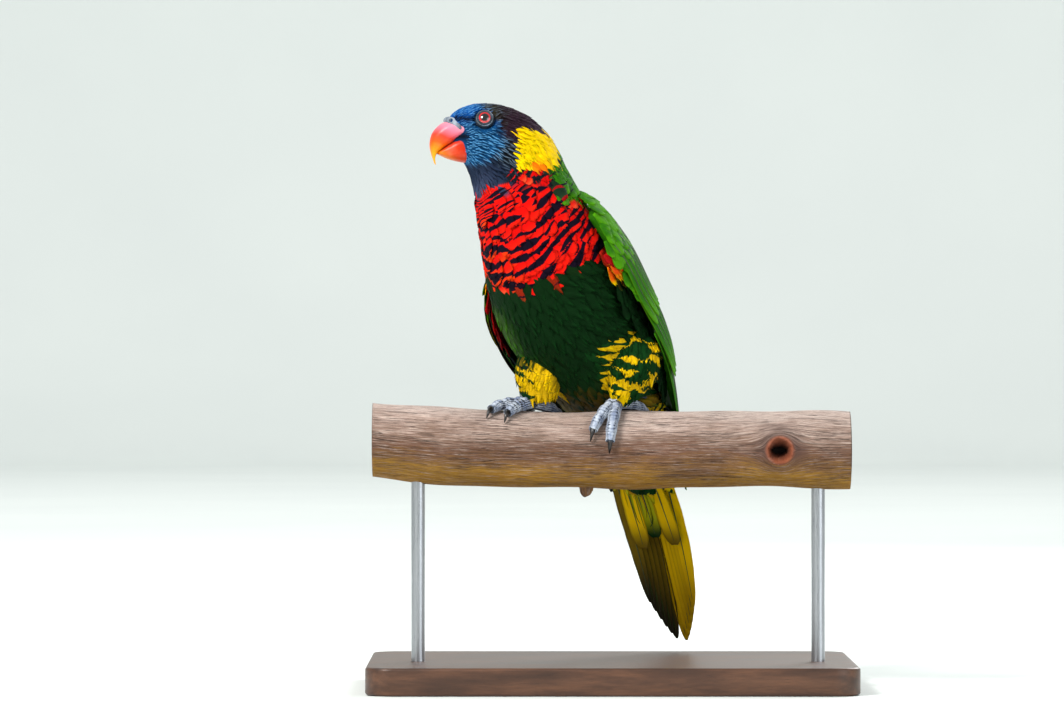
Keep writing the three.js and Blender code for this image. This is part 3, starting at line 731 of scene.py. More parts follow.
# %% Outlines of the small feathers
ROUNDED = [[0, 0.4], [0.3, 0.8], [0.55, 1], [0.8, 0.97], [0.92, 0.78], [1, 0.5]]
BLUNT = [[0, 0.4], [0.3, 0.8], [0.6, 1], [0.86, 1.0], [0.95, 0.88], [1, 0.66]]
LANCE = [[0, 0.55], [0.25, 0.95], [0.5, 1], [0.75, 0.7], [0.9, 0.4], [1, 0.14]]
rng = np.random.default_rng(SEED)
LEAVES = {
    name: collection_of(name, [leaf_mesh(f"{name}_{i}", outline, rows, columns, torn, rng) for i in range(3)])
    for name, outline, rows, columns, torn in (
        ("rounded", ROUNDED, 6, 6, 0.55), ("blunt", BLUNT, 6, 6, 0.6), ("lance", LANCE, 5, 2, 0.25),
        ("loose", LANCE, 5, 4, 1.0),
    )
}

# %% [markdown]
# Geometry Nodes set a leaf on every root, turn it to the lie of the coat, bend it to the body beneath and
# store the small patch of the bake map that belongs to it. The roots are plain points that carry all they
# need.

# %% The tree that grows a coat
def evaluated_mesh(thing):
    """What an object's modifiers make of it, as a mesh of its own."""
    return bpy.data.meshes.new_from_object(thing.evaluated_get(bpy.context.evaluated_depsgraph_get()))


class Growth(Tree):
    """A tree of geometry nodes with named inputs, and the object that it is run on."""

    def __init__(self, name, **inputs):
        super().__init__(bpy.data.node_groups.new(name, "GeometryNodeTree"))
        face = self.tree.interface
        face.new_socket("Geometry", in_out="OUTPUT", socket_type="NodeSocketGeometry")
        face.new_socket("Geometry", in_out="INPUT", socket_type="NodeSocketGeometry")
        self.keys = {key: face.new_socket(key, in_out="INPUT", socket_type=kind).identifier for key,
                     kind in inputs.items()}
        self.entry = self.tree.nodes.new("NodeGroupInput")

    def input(self, name="Geometry"):
        return Wire(self, self.entry.outputs[name])

    def attribute(self, name, kind="FLOAT_VECTOR"):
        return self.node("GeometryNodeInputNamedAttribute", {"data_type": kind}, {"Name": name})

    def end(self, geometry):
        """Realizes what was made, sets its material and gives it to the output."""
        made = self.node("GeometryNodeRealizeInstances", sockets={"Geometry": geometry})
        made = self.node("GeometryNodeSetMaterial",
                         sockets={"Geometry": made, "Material": self.input("Finish")})
        self.tree.links.new(made.socket, self.tree.nodes.new("NodeGroupOutput").inputs[0])

    def grow(self, name, mesh, **values):
        """Runs the tree over a mesh and gives the result as a plain mesh object."""
        source = bpy.data.objects.new(name + "_source", mesh)
        show(source)
        modifier = source.modifiers.new("growth", "NODES")
        modifier.node_group = self.tree
        for key, value in values.items():
            modifier[self.keys[key]] = value
        source.update_tag()
        made = bpy.data.objects.new(name, evaluated_mesh(source))
        show(made)
        bpy.data.objects.remove(source)
        return made


print("trees of geometry nodes ready")

# %% The coat tree
def coat_tree():
    g = Growth("coat", Leaves="NodeSocketCollection", Finish="NodeSocketMaterial", Patch="NodeSocketFloat",
               Roll="NodeSocketFloat", Seed="NodeSocketInt")
    leaves = g.node("GeometryNodeCollectionInfo", {"transform_space": "ORIGINAL"},
                    {"Collection": g.input("Leaves"), "Separate Children": True, "Reset Children": True})
    axes = {"Primary Axis": g.attribute("ahead"), "Secondary Axis": g.attribute("up")}
    turn = g.node("FunctionNodeAxesToRotation", {"primary_axis": "Y", "secondary_axis": "Z"}, axes)
    chance = g.node("FunctionNodeRandomValue", {"data_type": "FLOAT"},
                    {"Min": -1.0, "Max": 1.0, "Seed": g.input("Seed")}, "Value")
    roll = g.node("FunctionNodeAxisAngleToRotation",
                  sockets={"Axis": (0, 1, 0), "Angle": chance * g.input("Roll")})
    turn = g.node("FunctionNodeRotateRotation", {"rotation_space": "LOCAL"},
                  {"Rotation": turn, "Rotate By": roll})
    sockets = {"Points": g.input(), "Instance": leaves, "Pick Instance": True, "Rotation": turn,
               "Instance Index": g.attribute("pick", "INT"), "Scale": g.attribute("size")}
    made = g.node("GeometryNodeInstanceOnPoints", sockets=sockets)
    made = g.node("GeometryNodeRealizeInstances", sockets={"Geometry": made})
    wide, long, _ = g.attribute("size").parts()
    x, y, _ = g.attribute("leaf").parts()
    across, length = x * wide * 0.5, y * long
    bend_across, bend_along, _ = g.attribute("bend").parts()
    drop = across * across * bend_across + length * length * bend_along
    fall = g.attribute("up").vector("SCALE", drop * -0.5)
    made = g.node("GeometryNodeSetPosition", sockets={"Geometry": made, "Offset": fall})
    place = g.attribute("patch").vector("ADD", g.joined(x * 0.5, y, 0.0).vector("SCALE", g.input("Patch")))
    made = g.node("GeometryNodeStoreNamedAttribute", {"data_type": "FLOAT2", "domain": "CORNER"},
                  {"Geometry": made, "Name": "OFBake", "Value": place})
    g.end(made)
    return g


COAT = coat_tree()
print("coat tree with", len(COAT.tree.nodes), "nodes")

# %% [markdown]
# Plumage is matt. The material reads the place on the leaf for the barbs, rim and pale shaft, and the
# leaf's own colours for the rest, and paints shade on each leaf's underside. Dark bars follow the body,
# not the leaf: each leaf knows where on the body its root is and how far it reaches, so one long tapered
# bar runs on over many feathers. The skin carries the same values, and is painted in shade as an underside.

# %% The finish of feathers and of the skin below them
BARB_PITCH, BARB_RELIEF = 0.00042, 0.00005


def plumage_finish():
    f = Finish("plumage", roughness=0.7, specular_ior_level=0.05)
    x, y, upper = f.read("leaf").parts()
    wide, long, _ = f.read("size").parts()
    bar, streak, chance = f.read("marks").parts()
    side = x.size()
    phase = (y * long - side * wide * 0.55) / BARB_PITCH
    comb = (phase * 2 * math.pi).wave() * y.step(0.02, 0.2)
    ahead, turn, row_across = f.read("run").parts()
    row_along, turn_across, turn_along = f.read("reach").parts()
    rooted = row_along.step(0.0, 0.01) * (1 - y.step(0.35, 0.6))
    base, rim = f.blend(rooted, f.read("base", "Color"), f.read("root", "Color")), f.read("rim", "Color")
    edge = 1 - (1 - y.step(0.62, 0.98)) * (1 - side.step(0.7, 1.0) * 0.6)
    colour = f.blend(edge, base, rim)
    pale_line = streak * (1 - side.step(0.1, 0.5)) * y.step(0.2, 0.45) * chance.step(-0.2, 0.6)
    colour = f.blend(pale_line, colour, f.read("pale", "Color"))
    spot_x, spot_y, _ = f.read("spot").parts()
    row = (ahead + spot_y * row_along + spot_x * 0.5 * row_across) / BAR_ROW + (chance - 0.5) * 0.06
    beside = (turn + spot_x * 0.5 * turn_across + spot_y * turn_along) / BAR_SPAN
    row = row + (f.noise(f.joined(beside * 0.9, row * 0.35, 0.0), 1.0, 1.0) - 0.5) * 1.5
    number = row.math("FLOOR")
    swell = f.noise(f.joined(beside * 1.3, number * 3.7, 5.0), 1.0, 0.0)
    fray = f.noise(f.joined(spot_x * 7.0, chance * 40.0, 0.0), 1.0, 1.0) - 0.5
    past = (row - number - 0.5 + fray * 0.1).size()
    inked = (bar * (swell - 0.31) * 1.15 - past).step(-0.03, 0.03) * bar.step(0.04, 0.1)
    colour = f.blend(inked, colour, f.read("ink", "Color"))
    # Painted shade: a leaf is darker where its third leaf value is low, on its underside, and pieces that
    # carry no leaf values (the skin, wing plates and tail root) are darkened as undersides. The rest is each
    # feather's random tone and its barbs.
    light = (0.9 + chance * 0.16 + comb * 0.06) * (0.78 + upper * 0.22)
    colour = f.blend(1.0, colour, f.joined(light, light, light), "MULTIPLY")
    f.set("Base Color", colour)
    f.bump(comb, BARB_RELIEF)
    return f.material


PLUMAGE = plumage_finish()
print("plumage finish with", len(PLUMAGE.node_tree.nodes), "nodes")

# %% [markdown]
# Feathers grow in staggered rows, so each tip covers the gap between two behind it. Rows are counted off
# along the body by true distance, a sector of turns at a time, because the throat is shorter than the
# crown.

# %% Sowing roots and growing a coat from them
BAKE_PATCH = 0.003


def sow(surface, start, stop, sectors, pitch, chances):
    """Places in staggered rows. Pitch gives the distances along and across, in millimetres, at a place."""
    places = []
    u = np.linspace(start, stop, 400)
    for t0, t1 in zip(sectors[:-1], sectors[1:]):
        middle = np.full_like(u, (t0 + t1) / 2)
        walk = np.linalg.norm(np.diff(surface(u, middle), axis=0), axis=1)
        along_pitch, across_pitch = (value + 0 * u for value in pitch(u, middle))
        rows = np.concatenate([[0], np.cumsum(walk / along_pitch[1:])])
        side = np.linalg.norm(surface(u, middle * 0 + t1) - surface(u, middle * 0 + t0), axis=1)
        for n, at in enumerate(np.arange(chances.uniform(0, 1), rows[-1], 1.0)):
            count = max(1, round(np.interp(at, rows, side / across_pitch)))
            shares = (np.arange(count) + 0.5 * (n % 2) + chances.uniform(-0.2, 0.2, count)) / count
            heights = np.interp(at + chances.uniform(-0.22, 0.22, count), rows, u)
            places += list(zip(heights, t0 + (t1 - t0) * shares))
    return np.array(places).T


def ways(surface, u, turn):
    """The steps over the surface for 0.1 of u and for one degree of turn."""
    here = surface(u, turn)
    return surface(u + 0.1, turn) - here, surface(u, turn + 1) - here


def walk_of(surface, u, turn):
    """Millimetres along the surface for one step of u."""
    return np.maximum(np.linalg.norm(surface(u + 0.1, turn) - surface(u, turn), axis=-1) / 0.1, 2)


def set_reach(coat, surface, u, turn, lie, wide, long, rows, turn_scale=1.0):
    """Tells each feather in which row of bars its root is, and how far over rows and turns it reaches."""
    along, round_about = ways(surface, u, turn)
    walk, degree = (np.linalg.norm(way, axis=-1, keepdims=True) for way in (along, round_about))
    across = np.cross(lie[1], lie[2])
    (u_ahead, turn_ahead), (u_across, turn_across) = (
        (np.sum(way * along / walk**2, -1) * 0.1, np.sum(way * round_about / degree**2, -1))
        for way in (lie[1], across))
    row = rows(u, turn)
    ahead = (rows(u + u_ahead, turn + turn_ahead) - row) * long
    aside = (rows(u + u_across, turn + turn_across) - row) * wide
    coat.run = np.stack([row, turn * turn_scale, aside], -1)
    coat.reach = np.stack([ahead, turn_across * wide * turn_scale, turn_ahead * long * turn_scale], -1)


print("one u on the belly is", round(float(walk_of(skin, np.array(8.0), 0.0))), "mm")

# %% How feathers lie, and planting them
def lie_at(surface, inside, u, turn):
    """Roots, the lie of the coat, the way out and how the surface bends, for many places at once."""
    step, turn_step = 0.12, 9.0
    p = surface(u, turn)
    before, after = surface(u - step, turn), surface(u + step, turn)
    lower, upper = surface(u, turn - turn_step), surface(u, turn + turn_step)
    out = unit(np.cross(after - before, upper - lower))
    out = out * np.sign(dot(out, p - inside(u)))
    ahead = unit(after - before)

    def bend(a, b):
        span = np.linalg.norm(a - b, axis=-1) / 2
        return -np.sum((a + b - 2 * p) * out, -1) / np.maximum(span, 0.4) ** 2

    return p, ahead, out, bend(after, before), bend(upper, lower)


def ruffled(lie, chances, spread):
    """The lie of the coat with each feather swung a little to one side, by spread degrees or so."""
    ahead = lie[1]
    swing = np.radians(chances.normal(0, spread, len(ahead)))[:, None]
    return [lie[0], unit(ahead * np.cos(swing) + np.cross(ahead, lie[2]) * np.sin(swing)), *lie[2:]]


def plant(lie, coat, size, patch, chances, lift=0.06, sink=0.25):
    """A mesh of bare points that carries what the coat tree and the material need at each root."""
    p, ahead, out, bend_along, bend_across = lie
    count = len(p)
    tilt = (lift * chances.uniform(0.7, 1.5, count))[:, None]
    flow, up = unit(ahead + out * tilt), unit(out - ahead * tilt)
    bends = np.stack([np.clip(bend_across, 0, 0.1), np.clip(bend_along, -0.01, 0.08), 0 * bend_along],
                     -1) / MM
    marks = np.stack([coat.bar, coat.streak, chances.uniform(0, 1, count)], -1)
    colours = {key: getattr(coat, key) for key in ("base", "rim", "pale", "ink", "run", "reach", "root")}
    return mesh_of("roots", (p - out * sink) * MM, [], ahead=flow, up=up, size=size * MM, bend=bends,
                   patch=patch,
                   pick=chances.integers(0, 3, count).astype(float), marks=marks, **colours)


def body_patch(u, turn):
    """Where a root lies on the unrolled body, for the bake map."""
    return np.stack([0.02 + 0.9 * (turn + 180) / 360, 0.02 + 0.72 * (u + DOME) / 12.9, 0 * u], -1)


def attach(piece, slot, *nodes):
    """Ties a finished piece to the frame: its body and the nodes that it stands for. The slot is not used."""
    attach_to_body(piece, "root")
    if nodes:
        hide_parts(*nodes)
    piece.data.update()
    box = [max(v) - min(v) for v in zip(*piece.bound_box)]
    sides = " x ".join(f"{side / MM:.0f}" for side in box)
    print(f"{piece.name}: {len(piece.data.polygons)} faces, {sides} mm")


def grow_coat(name, slot, roots, leaves, roll=0.12, finish=PLUMAGE):
    values = {"Leaves": LEAVES[leaves], "Finish": finish, "Patch": BAKE_PATCH, "Roll": roll, "Seed": SEED}
    attach(COAT.grow(name, roots, **values), slot)


SECTORS = np.linspace(-180, 180, 19)
chances = np.random.default_rng(SEED)
print("sowing in", len(SECTORS) - 1, "sectors")

# %% [markdown]
# The skin is one closed form for head, neck, trunk, thighs and feet. It is lofted ring by ring from the
# body's sections, the thighs and toes are joined to it, and it carries the same markings as the feathers
# over it.

# %% Lofts, limbs and the skin
def loft(rings):
    """Points and faces of a closed form through rings, its ends closed by fans."""
    rings = np.asarray(rings, float)
    count, n = rings.shape[:2]
    points = np.concatenate([rings.reshape(-1, 3), rings[0].mean(0)[None], rings[-1].mean(0)[None]])
    sides = [(k, (k + 1) % n) for k in range(n)]
    faces = [(r + a, r + b, r + b + n, r + a + n) for r in range(0, count * n - n, n) for a, b in sides]
    for a, b in sides:
        faces += [(b, a, count * n), (count * n - n + a, count * n - n + b, count * n + 1)]
    corners = np.array([f[:3] for f in faces] + [(f[0], f[2], f[3]) for f in faces if len(f) > 3])
    a, b, c = (points[corners[:, k]] for k in range(3))
    inside_out = np.sum(a * np.cross(b, c)) < 0
    return points, [f[::-1] for f in faces] if inside_out else faces


def limb(path, sides, side=(1.0, 0, 0), flat=1.0):
    """Rings of a tapering round rod along [x, y, z, radius] rows."""
    path = np.asarray(path, float)
    ahead = unit(np.gradient(path[:, :3], axis=0))
    across = unit(np.asarray(side, float) - ahead * (ahead @ np.asarray(side, float))[:, None])
    over = np.cross(ahead, across)
    turn = circle(sides)[None, :, None]
    radius = path[:, None, 3:]
    return path[:, None, :3] + radius * (across[:, None] * np.cos(turn) + over[:, None] * np.sin(turn) * flat)


def piece_of(name, points, faces, material, **attributes):
    """A new object in the scene from points in millimetres."""
    made = bpy.data.objects.new(name, mesh_of(name, np.asarray(points) * MM, faces, **attributes))
    made.data.materials.append(material)
    show(made)
    return made


def outward_faces(made):
    """Turns a closed piece's faces outwards."""
    mesh = bmesh.new()
    mesh.from_mesh(made.data)
    bmesh.ops.recalc_face_normals(mesh, faces=mesh.faces)
    mesh.to_mesh(made.data)
    mesh.free()


def join(first, others, operation="UNION"):
    """One closed form from several, cut or joined exactly, with the others then removed."""
    for other in others:
        tool = first.modifiers.new("join", "BOOLEAN")
        tool.object, tool.operation, tool.solver = other, operation, "MANIFOLD"
    made = evaluated_mesh(first)
    first.modifiers.clear()
    first.data = made
    for other in others:
        bpy.data.objects.remove(other)
    return first


print("lofts, limbs and joins ready")

# %% The trunk's rings
SKIN_ROWS, SKIN_SIDES = 230, 144
rows_u = np.concatenate([np.linspace(-DOME + 0.02, 3.2, 110),
                         np.linspace(3.26, TRUNK_END + 0.3, SKIN_ROWS - 110)])
turns = np.linspace(-180, 180, SKIN_SIDES, endpoint=False)
grid_u, grid_turn = grid(rows_u, turns)
skin_points, skin_faces = loft(skin(grid_u, grid_turn))
print("skin rows", len(rows_u), "points", len(skin_points))

# %% [markdown]
# The toes curl round the branch, so each is a few places given as a distance along the branch and a turn
# round it. Thighs, shanks and toes are joined to the trunk by an exact union, which leaves the skin one
# closed form.

# %% The toes, and the skin joined from its parts
LEGS = {
    "left": SimpleNamespace(foot=[7.6, -1.5, 20.6], toes=[
        [[5, 20], [1.8, 34], [-1, 48], [-3.2, 62]], [[7.2, 22], [6.1, 40], [4.9, 60], [4.2, 79]],
        [[11, -5], [14.5, -12], [17.5, -22], [20, -34]], [[7, -22], [6, -40], [4, -58], [3, -72]]]),
    "right": SimpleNamespace(foot=[-30, -0.6, 21], toes=[
        [[-35, 3], [-40, 8], [-44.5, 17], [-48, 31]], [[-34, 13], [-36.5, 20], [-38.7, 28], [-40.5, 37]],
        [[-26, -10], [-22, -20], [-19, -34], [-17, -48]], [[-31, -22], [-33, -39], [-35, -56], [-36, -70]]]),
}
TOE_RADIUS = 2.7
TOE_SHARES = np.array([[1.0], [0.94], [0.86], [0.74]])
KNOT_X = 78.5
TOE_ABOVE = 0.45


def branch_radius(x, turn):
    swell = 0.35 * np.sin(x / 13) + 0.25 * np.sin(x / 7 + 2 * turn)
    lumps = 0.4 * np.sin(3 * turn + x / 31) + 0.25 * np.sin(5 * turn - x / 17)
    from_knot = np.hypot(x - KNOT_X, BRANCH_RADIUS * (turn - np.pi / 2))
    return BRANCH_RADIUS + swell + lumps + 1.4 * np.exp(-((from_knot / 9) ** 2))


def beside_branch(x, turn, above=0.0):
    """A point beside the branch: turn is 0 on its top and a quarter turn at its front."""
    x, turn = np.asarray(x, float), np.asarray(turn, float)
    r = branch_radius(x, turn) + above
    bend = 0.00045 * x * x * (x < 0)
    return np.stack([x + 0 * r, -r * np.sin(turn), r * np.cos(turn) + bend], -1) + BRANCH_MIDDLE


def toe_path(leg, toe, steps=40):
    """A toe's middle line and radius from the foot to its end, with swollen pads between its joints."""
    s = np.linspace(0, 3, steps)
    x, turn = between(toe, s).T
    radius = TOE_RADIUS * between(TOE_SHARES, s)[:, 0] * (0.95 + 0.06 * np.cos(2 * np.pi * s))
    centre = beside_branch(x, np.radians(turn), radius + TOE_ABOVE)
    start = np.array(leg.foot) + BRANCH_MIDDLE
    lead = start + (centre[0] - start) * np.linspace(0, 1, 6)[:-1, None]
    radii = np.concatenate([np.linspace(TOE_RADIUS * 1.02, radius[0], 6)[:-1], radius])
    radii[-3:] *= [0.97, 0.86, 0.55]
    return np.column_stack([np.concatenate([lead, centre]), radii])


def toes():
    for side, leg in LEGS.items():
        for i, toe in enumerate(leg.toes):
            yield side, i, toe, toe_path(leg, toe)


skin_piece = piece_of("skin", skin_points, skin_faces, PLUMAGE)
parts = []
for side, leg in LEGS.items():
    u, turn = grid(np.linspace(0.2, 5, 40), circle(48, 360))
    parts.append(piece_of("thigh", *loft(thigh(side, u, turn)), PLUMAGE))
    ankle = np.array(leg.foot) + BRANCH_MIDDLE
    shank = [[*(ankle + [0, 0, h]), r] for h, r in ((6.5, 2.3), (4, 2.5), (2, 2.9), (0.5, 3.1), (-0.8, 2.9))]
    parts.append(piece_of("shank", *loft(limb(between(shank, np.linspace(0, 4, 24)), 32)), PLUMAGE))
for *_, path in toes():
    parts.append(piece_of("toe", *loft(limb(path, 24)), PLUMAGE))
join(skin_piece, parts)
print("skin and limbs joined:", len(skin_piece.data.polygons), "faces")

# %% [markdown]
# Joining the parts makes new points, so the markings are laid on afterwards. Each point asks the nearest
# place whose colours are known. The legs below the feathers are bare and blue-grey, with a finish of their
# own.

# %% Markings on the skin, and bare skin on the legs
THIGH_ROWS, THIGH_TURN = 0.48, 0.5
thigh_rows = lambda u, turn: u * THIGH_ROWS


def thigh_markings(side, u, turn):
    """The thighs are gold with dark green bars: broad bars on the outer side, none just above the foot."""
    coat = Coat(len(u), "nape")
    facing, front = np.cos(np.radians(turn)), np.sin(np.radians(turn))
    coat.lay(np.ones(len(u)), "gold", "nape", bar=1.5, ink="moss")
    if side == "left":
        coat.bar += 1.0 * smooth(facing, -0.2, 0.5) * smooth(u, 1.2, 2.2)
        coat.lay(smooth(u, 3.6, 4.2) * (1 - smooth(facing, 0.1, 0.7)), "nape", "lemon", bar=0.2, ink="moss")
        coat.lay(1 - smooth(u, 0.1, 0.6), "forest", "moss")
    else:
        coat.bar = 0.1 + 1.8 * smooth(-facing, 0.4, 0.8)
        coat.lay(smooth(facing, 0.5, 0.9) * (1 - smooth(u, 2.5, 3.5)), "forest", "moss")
        coat.lay(1 - smooth(u, 1.2 - 0.5 * facing, 1.9 - 0.5 * facing), "forest", "moss")
    coat.lay(smooth(-front, 0.0, 0.5), "moss", "green")
    return coat


print("thighs have rows of bars", round(1 / THIGH_ROWS, 1), "apart")

# %% The nearest known marking for each point of the skin
skin_coat = markings(grid_u.ravel(), grid_turn.ravel(), p=skin(grid_u, grid_turn).reshape(-1, 3), edge=0.05)
skin_coat.run = np.stack([bar_rows(grid_u, grid_turn).ravel(), grid_turn.ravel(), 0 * grid_u.ravel()], -1)
known = [(skin(grid_u, grid_turn).reshape(-1, 3), skin_coat)]
for side in THIGHS:
    u, turn = (v.ravel() for v in grid(np.linspace(0.2, 5, 40), np.arange(0, 360, 8.0)))
    p = thigh(side, u, turn)
    coat = thigh_markings(side, u, turn)
    coat.run = np.stack([thigh_rows(u, turn), turn * THIGH_TURN, 0 * u], -1)
    known.append((p, coat))
lookup = mathutils.kdtree.KDTree(sum(len(p) for p, _ in known))
for i, p in enumerate(np.concatenate([p for p, _ in known])):
    lookup.insert(p * MM, i)
lookup.balance()
nearest = [lookup.find(v.co)[1] for v in skin_piece.data.vertices]
for _, coat in known:
    coat.marks = np.stack([coat.bar, 0 * coat.bar, 0.5 + 0 * coat.bar], -1)
for key in ("base", "rim", "ink", "run", "marks"):
    carry(skin_piece.data, **{key: np.concatenate([getattr(coat, key) for _, coat in known])[nearest]})


print("places with known colours:", sum(len(p) for p, _ in known))

# %% Bare skin on the legs
def bare_skin_finish(name, dark, light, depth):
    f = Finish(name, roughness=0.5, specular_ior_level=0.35)
    here = f.place()
    f.set("Base Color", f.blend(f.noise(here, 260.0, 4.0).step(0.35, 0.7), dark, light))
    f.bump(f.cells(here, 900.0), depth)
    return f.material


BARE = bare_skin_finish("bare_skin", "#262c36", "#4b5362", 0.00012)
skin_piece.data.materials.clear()
for material in (PLUMAGE, BARE):
    skin_piece.data.materials.append(material)
foot_top = BRANCH_MIDDLE[2] + 24.4
bare_faces = np.array([f.center.z / MM < foot_top and f.center.y / MM < 12 and abs(f.center.x / MM + 13) < 42
                       for f in skin_piece.data.polygons])
skin_piece.data.polygons.foreach_set("material_index", bare_faces.astype(np.int32))
skin_piece.data.shade_smooth()
attach(skin_piece, "torso", "head", "neck", "torso", "leg_left", "leg_right", "foot_left", "foot_right")

# %% [markdown]
# The smallest feathers are on the face: narrow leaves with a pale shaft that radiate back from the bill.
# They part round the eye and stop at the bare cere over the bill. On the crown and hindneck they grow
# longer and looser.

# %% Feathers of the head
def face_pitch(u, turn):
    small = np.interp(u, [-0.5, 0.3, 1.5, 3, 4.6], [0.9, 1.05, 1.5, 2.1, 2.8])
    return small * 1.2, small * 0.62


def clear_of_features(p):
    """True where a root isn't under an eye's bare ring or under the bill."""
    ahead, up, left = head_places(p)
    keep = ~(((left / 6.8) ** 2 + ((up + 1.6) / 9.9) ** 2 < 1) & (ahead > -2.6))
    for side in (1, -1):
        away, out = from_eye(p, side)
        keep &= ~((away < 3.7) & (out > 0))
    return keep


def part_round_eyes(p, ahead, out):
    """Turns the lie of the coat so that it flows round the eyes."""
    for side in (1, -1):
        away, outward = from_eye(p, side)
        d = p - eye_middle(side)
        radial = unit(d - (d @ eye_axis(side))[:, None] * eye_axis(side))
        near = bell(away, 4.0, 2.6) * (outward > 0)
        ahead = ahead + radial * (0.8 * near)[:, None]
    return unit(ahead - out * dot(ahead, out))


print("pitch on the forehead:", [round(float(v), 2) for v in face_pitch(0.5, 0.0)])

# %% Sowing the head
u, turn = sow(skin, -0.42, 3.7, SECTORS, face_pitch, chances)
keep = clear_of_features(skin(u, turn))
u, turn = u[keep], turn[keep]
lie = list(lie_at(skin, inside_body, u, turn))
lie[1] = part_round_eyes(lie[0], lie[1], lie[2])
length = np.interp(u, [-0.5, 0.3, 1.5, 3, 4.6],
                   [1.9, 2.4, 3.8, 5.6, 6.8]) * chances.uniform(0.85, 1.15, len(u))
for side in (1, -1):
    away, out = from_eye(lie[0], side)
    length *= 1 - 0.5 * bell(away, 4.0, 2.4) * (out > 0)
size = np.stack([0.3 + length * 0.26, length, 0.14 + 0.02 * length], -1)
coat = markings(u + length * 0.6 / walk_of(skin, u, turn), turn, chances.normal(0, 0.06, len(u)), lie[0])
roots = plant(ruffled(lie, chances, 9), coat, size, body_patch(u, turn), chances, lift=0.08, sink=0.08)
grow_coat("coat_head", "head", roots, "lance")

# %% [markdown]
# Breast feathers are broad and blunt, and lie straight over the rows of bars that the material draws on the
# body. They are shorter at the collar and at the lower edge of the red. Feathers of neck and belly are
# loose, of the back round.

# %% Feathers of the neck, breast and body
def under_wing(u, turn):
    """True where the folded wings cover the body, with a little to spare."""
    hidden = np.zeros(len(u), bool)
    for kind in WINGS.values():
        t = turn * kind.side
        inside = (t > along(kind.front, u) + 12) & (t < along(WING_REAR, u) - 14)
        hidden |= inside & (u > 7.0) & (u < 11.4)
    return hidden


def across_rows(u, turn, lie):
    """The lie of the coat, turned so that feathers point straight over the rows of bars."""
    along, round_about = ways(skin, u, turn)
    per_u = (bar_rows(u + 0.1, turn) - bar_rows(u, turn))[:, None]
    per_turn = (bar_rows(u, turn + 1) - bar_rows(u, turn))[:, None]
    slope = along * per_u / np.sum(along**2, -1, keepdims=True)
    slope = slope + round_about * per_turn / np.sum(round_about**2, -1, keepdims=True)
    return unit(slope - lie[2] * dot(slope, lie[2]))


def body_coat(name, slot, start, stop, sectors, pitch, length, width, leaves, thick, keep, grade=None,
              spread=6.0,
              rooted=False, **lying):
    """A coat over part of the body. Keep says which feathers belong to it, from their middles and turns."""
    u, turn = sow(skin, start, stop, sectors, lambda u, turn: pitch, chances)
    longs = length * chances.uniform(0.88, 1.12, len(u))
    walk = walk_of(skin, u, turn)
    small = grade(u + 0.5 * longs / walk, turn) if grade else 1 + 0 * u
    longs = longs * small
    middle = u + 0.75 * longs / walk + chances.normal(0, 0.06, len(u))
    shown = ~under_wing(u, turn) & keep(middle, turn)
    u, turn, longs, middle, small = u[shown], turn[shown], longs[shown], middle[shown], small[shown]
    lie = list(lie_at(skin, inside_body, u, turn))
    lie[1] = across_rows(u, turn, lie)
    lie = ruffled(lie, chances, spread)
    size = np.stack([width * small * chances.uniform(0.9, 1.1, len(u)), longs, thick * small], -1)
    coat = markings(middle, turn, p=lie[0])
    coat.root = markings(u, turn, p=lie[0]).base if rooted else coat.base
    low = thigh_zone(middle, turn)
    rows = lambda u, turn: np.where(low, level_rows(u, turn), bar_rows(u, turn))
    set_reach(coat, skin, u, turn, lie, size[:, 0], longs, rows)
    roots = plant(lie, coat, size, body_patch(u, turn), chances, **lying)
    print(name, "has", len(u), "feathers")
    grow_coat(name, slot, roots, leaves)


# %% The four coats of the body
FRONT = np.linspace(-150, 150, 16)
BACK = np.linspace(105, 255, 8)
above_collar = lambda v, turn: (v < collar_top(turn) - 0.02) & (v < 6.6)
on_breast = lambda v, turn: (v > collar_top(turn) + 0.04) & (v < breast_end(turn) + 0.08)
below_breast = lambda v, turn: (v > breast_end(turn)) & (np.abs(turn) < 116)
behind = lambda v, turn: (v > 5.6) & ((v < collar_top(turn)) | (v > breast_end(turn)))
at_collar = lambda v, turn: 0.55 + 0.45 * smooth(v - collar_top(turn), 0.0, 0.8)
by_edges = lambda v, turn: at_collar(v, turn) * (1 - 0.4 * smooth(v - breast_end(turn), -0.8, -0.2))
body_coat("coat_neck", "neck", 3.2, 6.6, SECTORS, (1.9, 1.9), 6.8, 3.8, "loose", 0.2, above_collar, lift=0.04)
body_coat("coat_breast", "torso", 2.8, 7.0, FRONT, (3.8, 4.6), 12.0, 9.2, "blunt", 0.45, on_breast,
          grade=by_edges,
          spread=5, rooted=True, lift=0.05, sink=0.35)
body_coat("coat_back", "torso", 5.2, 12.1, BACK, (4.2, 5.0), 10.5, 7.6, "rounded", 0.5, behind, lift=0.08)
body_coat("coat_belly", "torso", 6.2, 12.1, np.linspace(-116, 116, 13), (3.3, 3.4), 11.0, 6.0, "loose", 0.4,
          below_breast, grade=lambda v, turn: 1 - 0.35 * thigh_zone(v, turn), spread=10, lift=0.06)

# %% [markdown]
# The thighs have their own feathers, gold with dark bars, that run down to the bare foot like loose
# trousers.

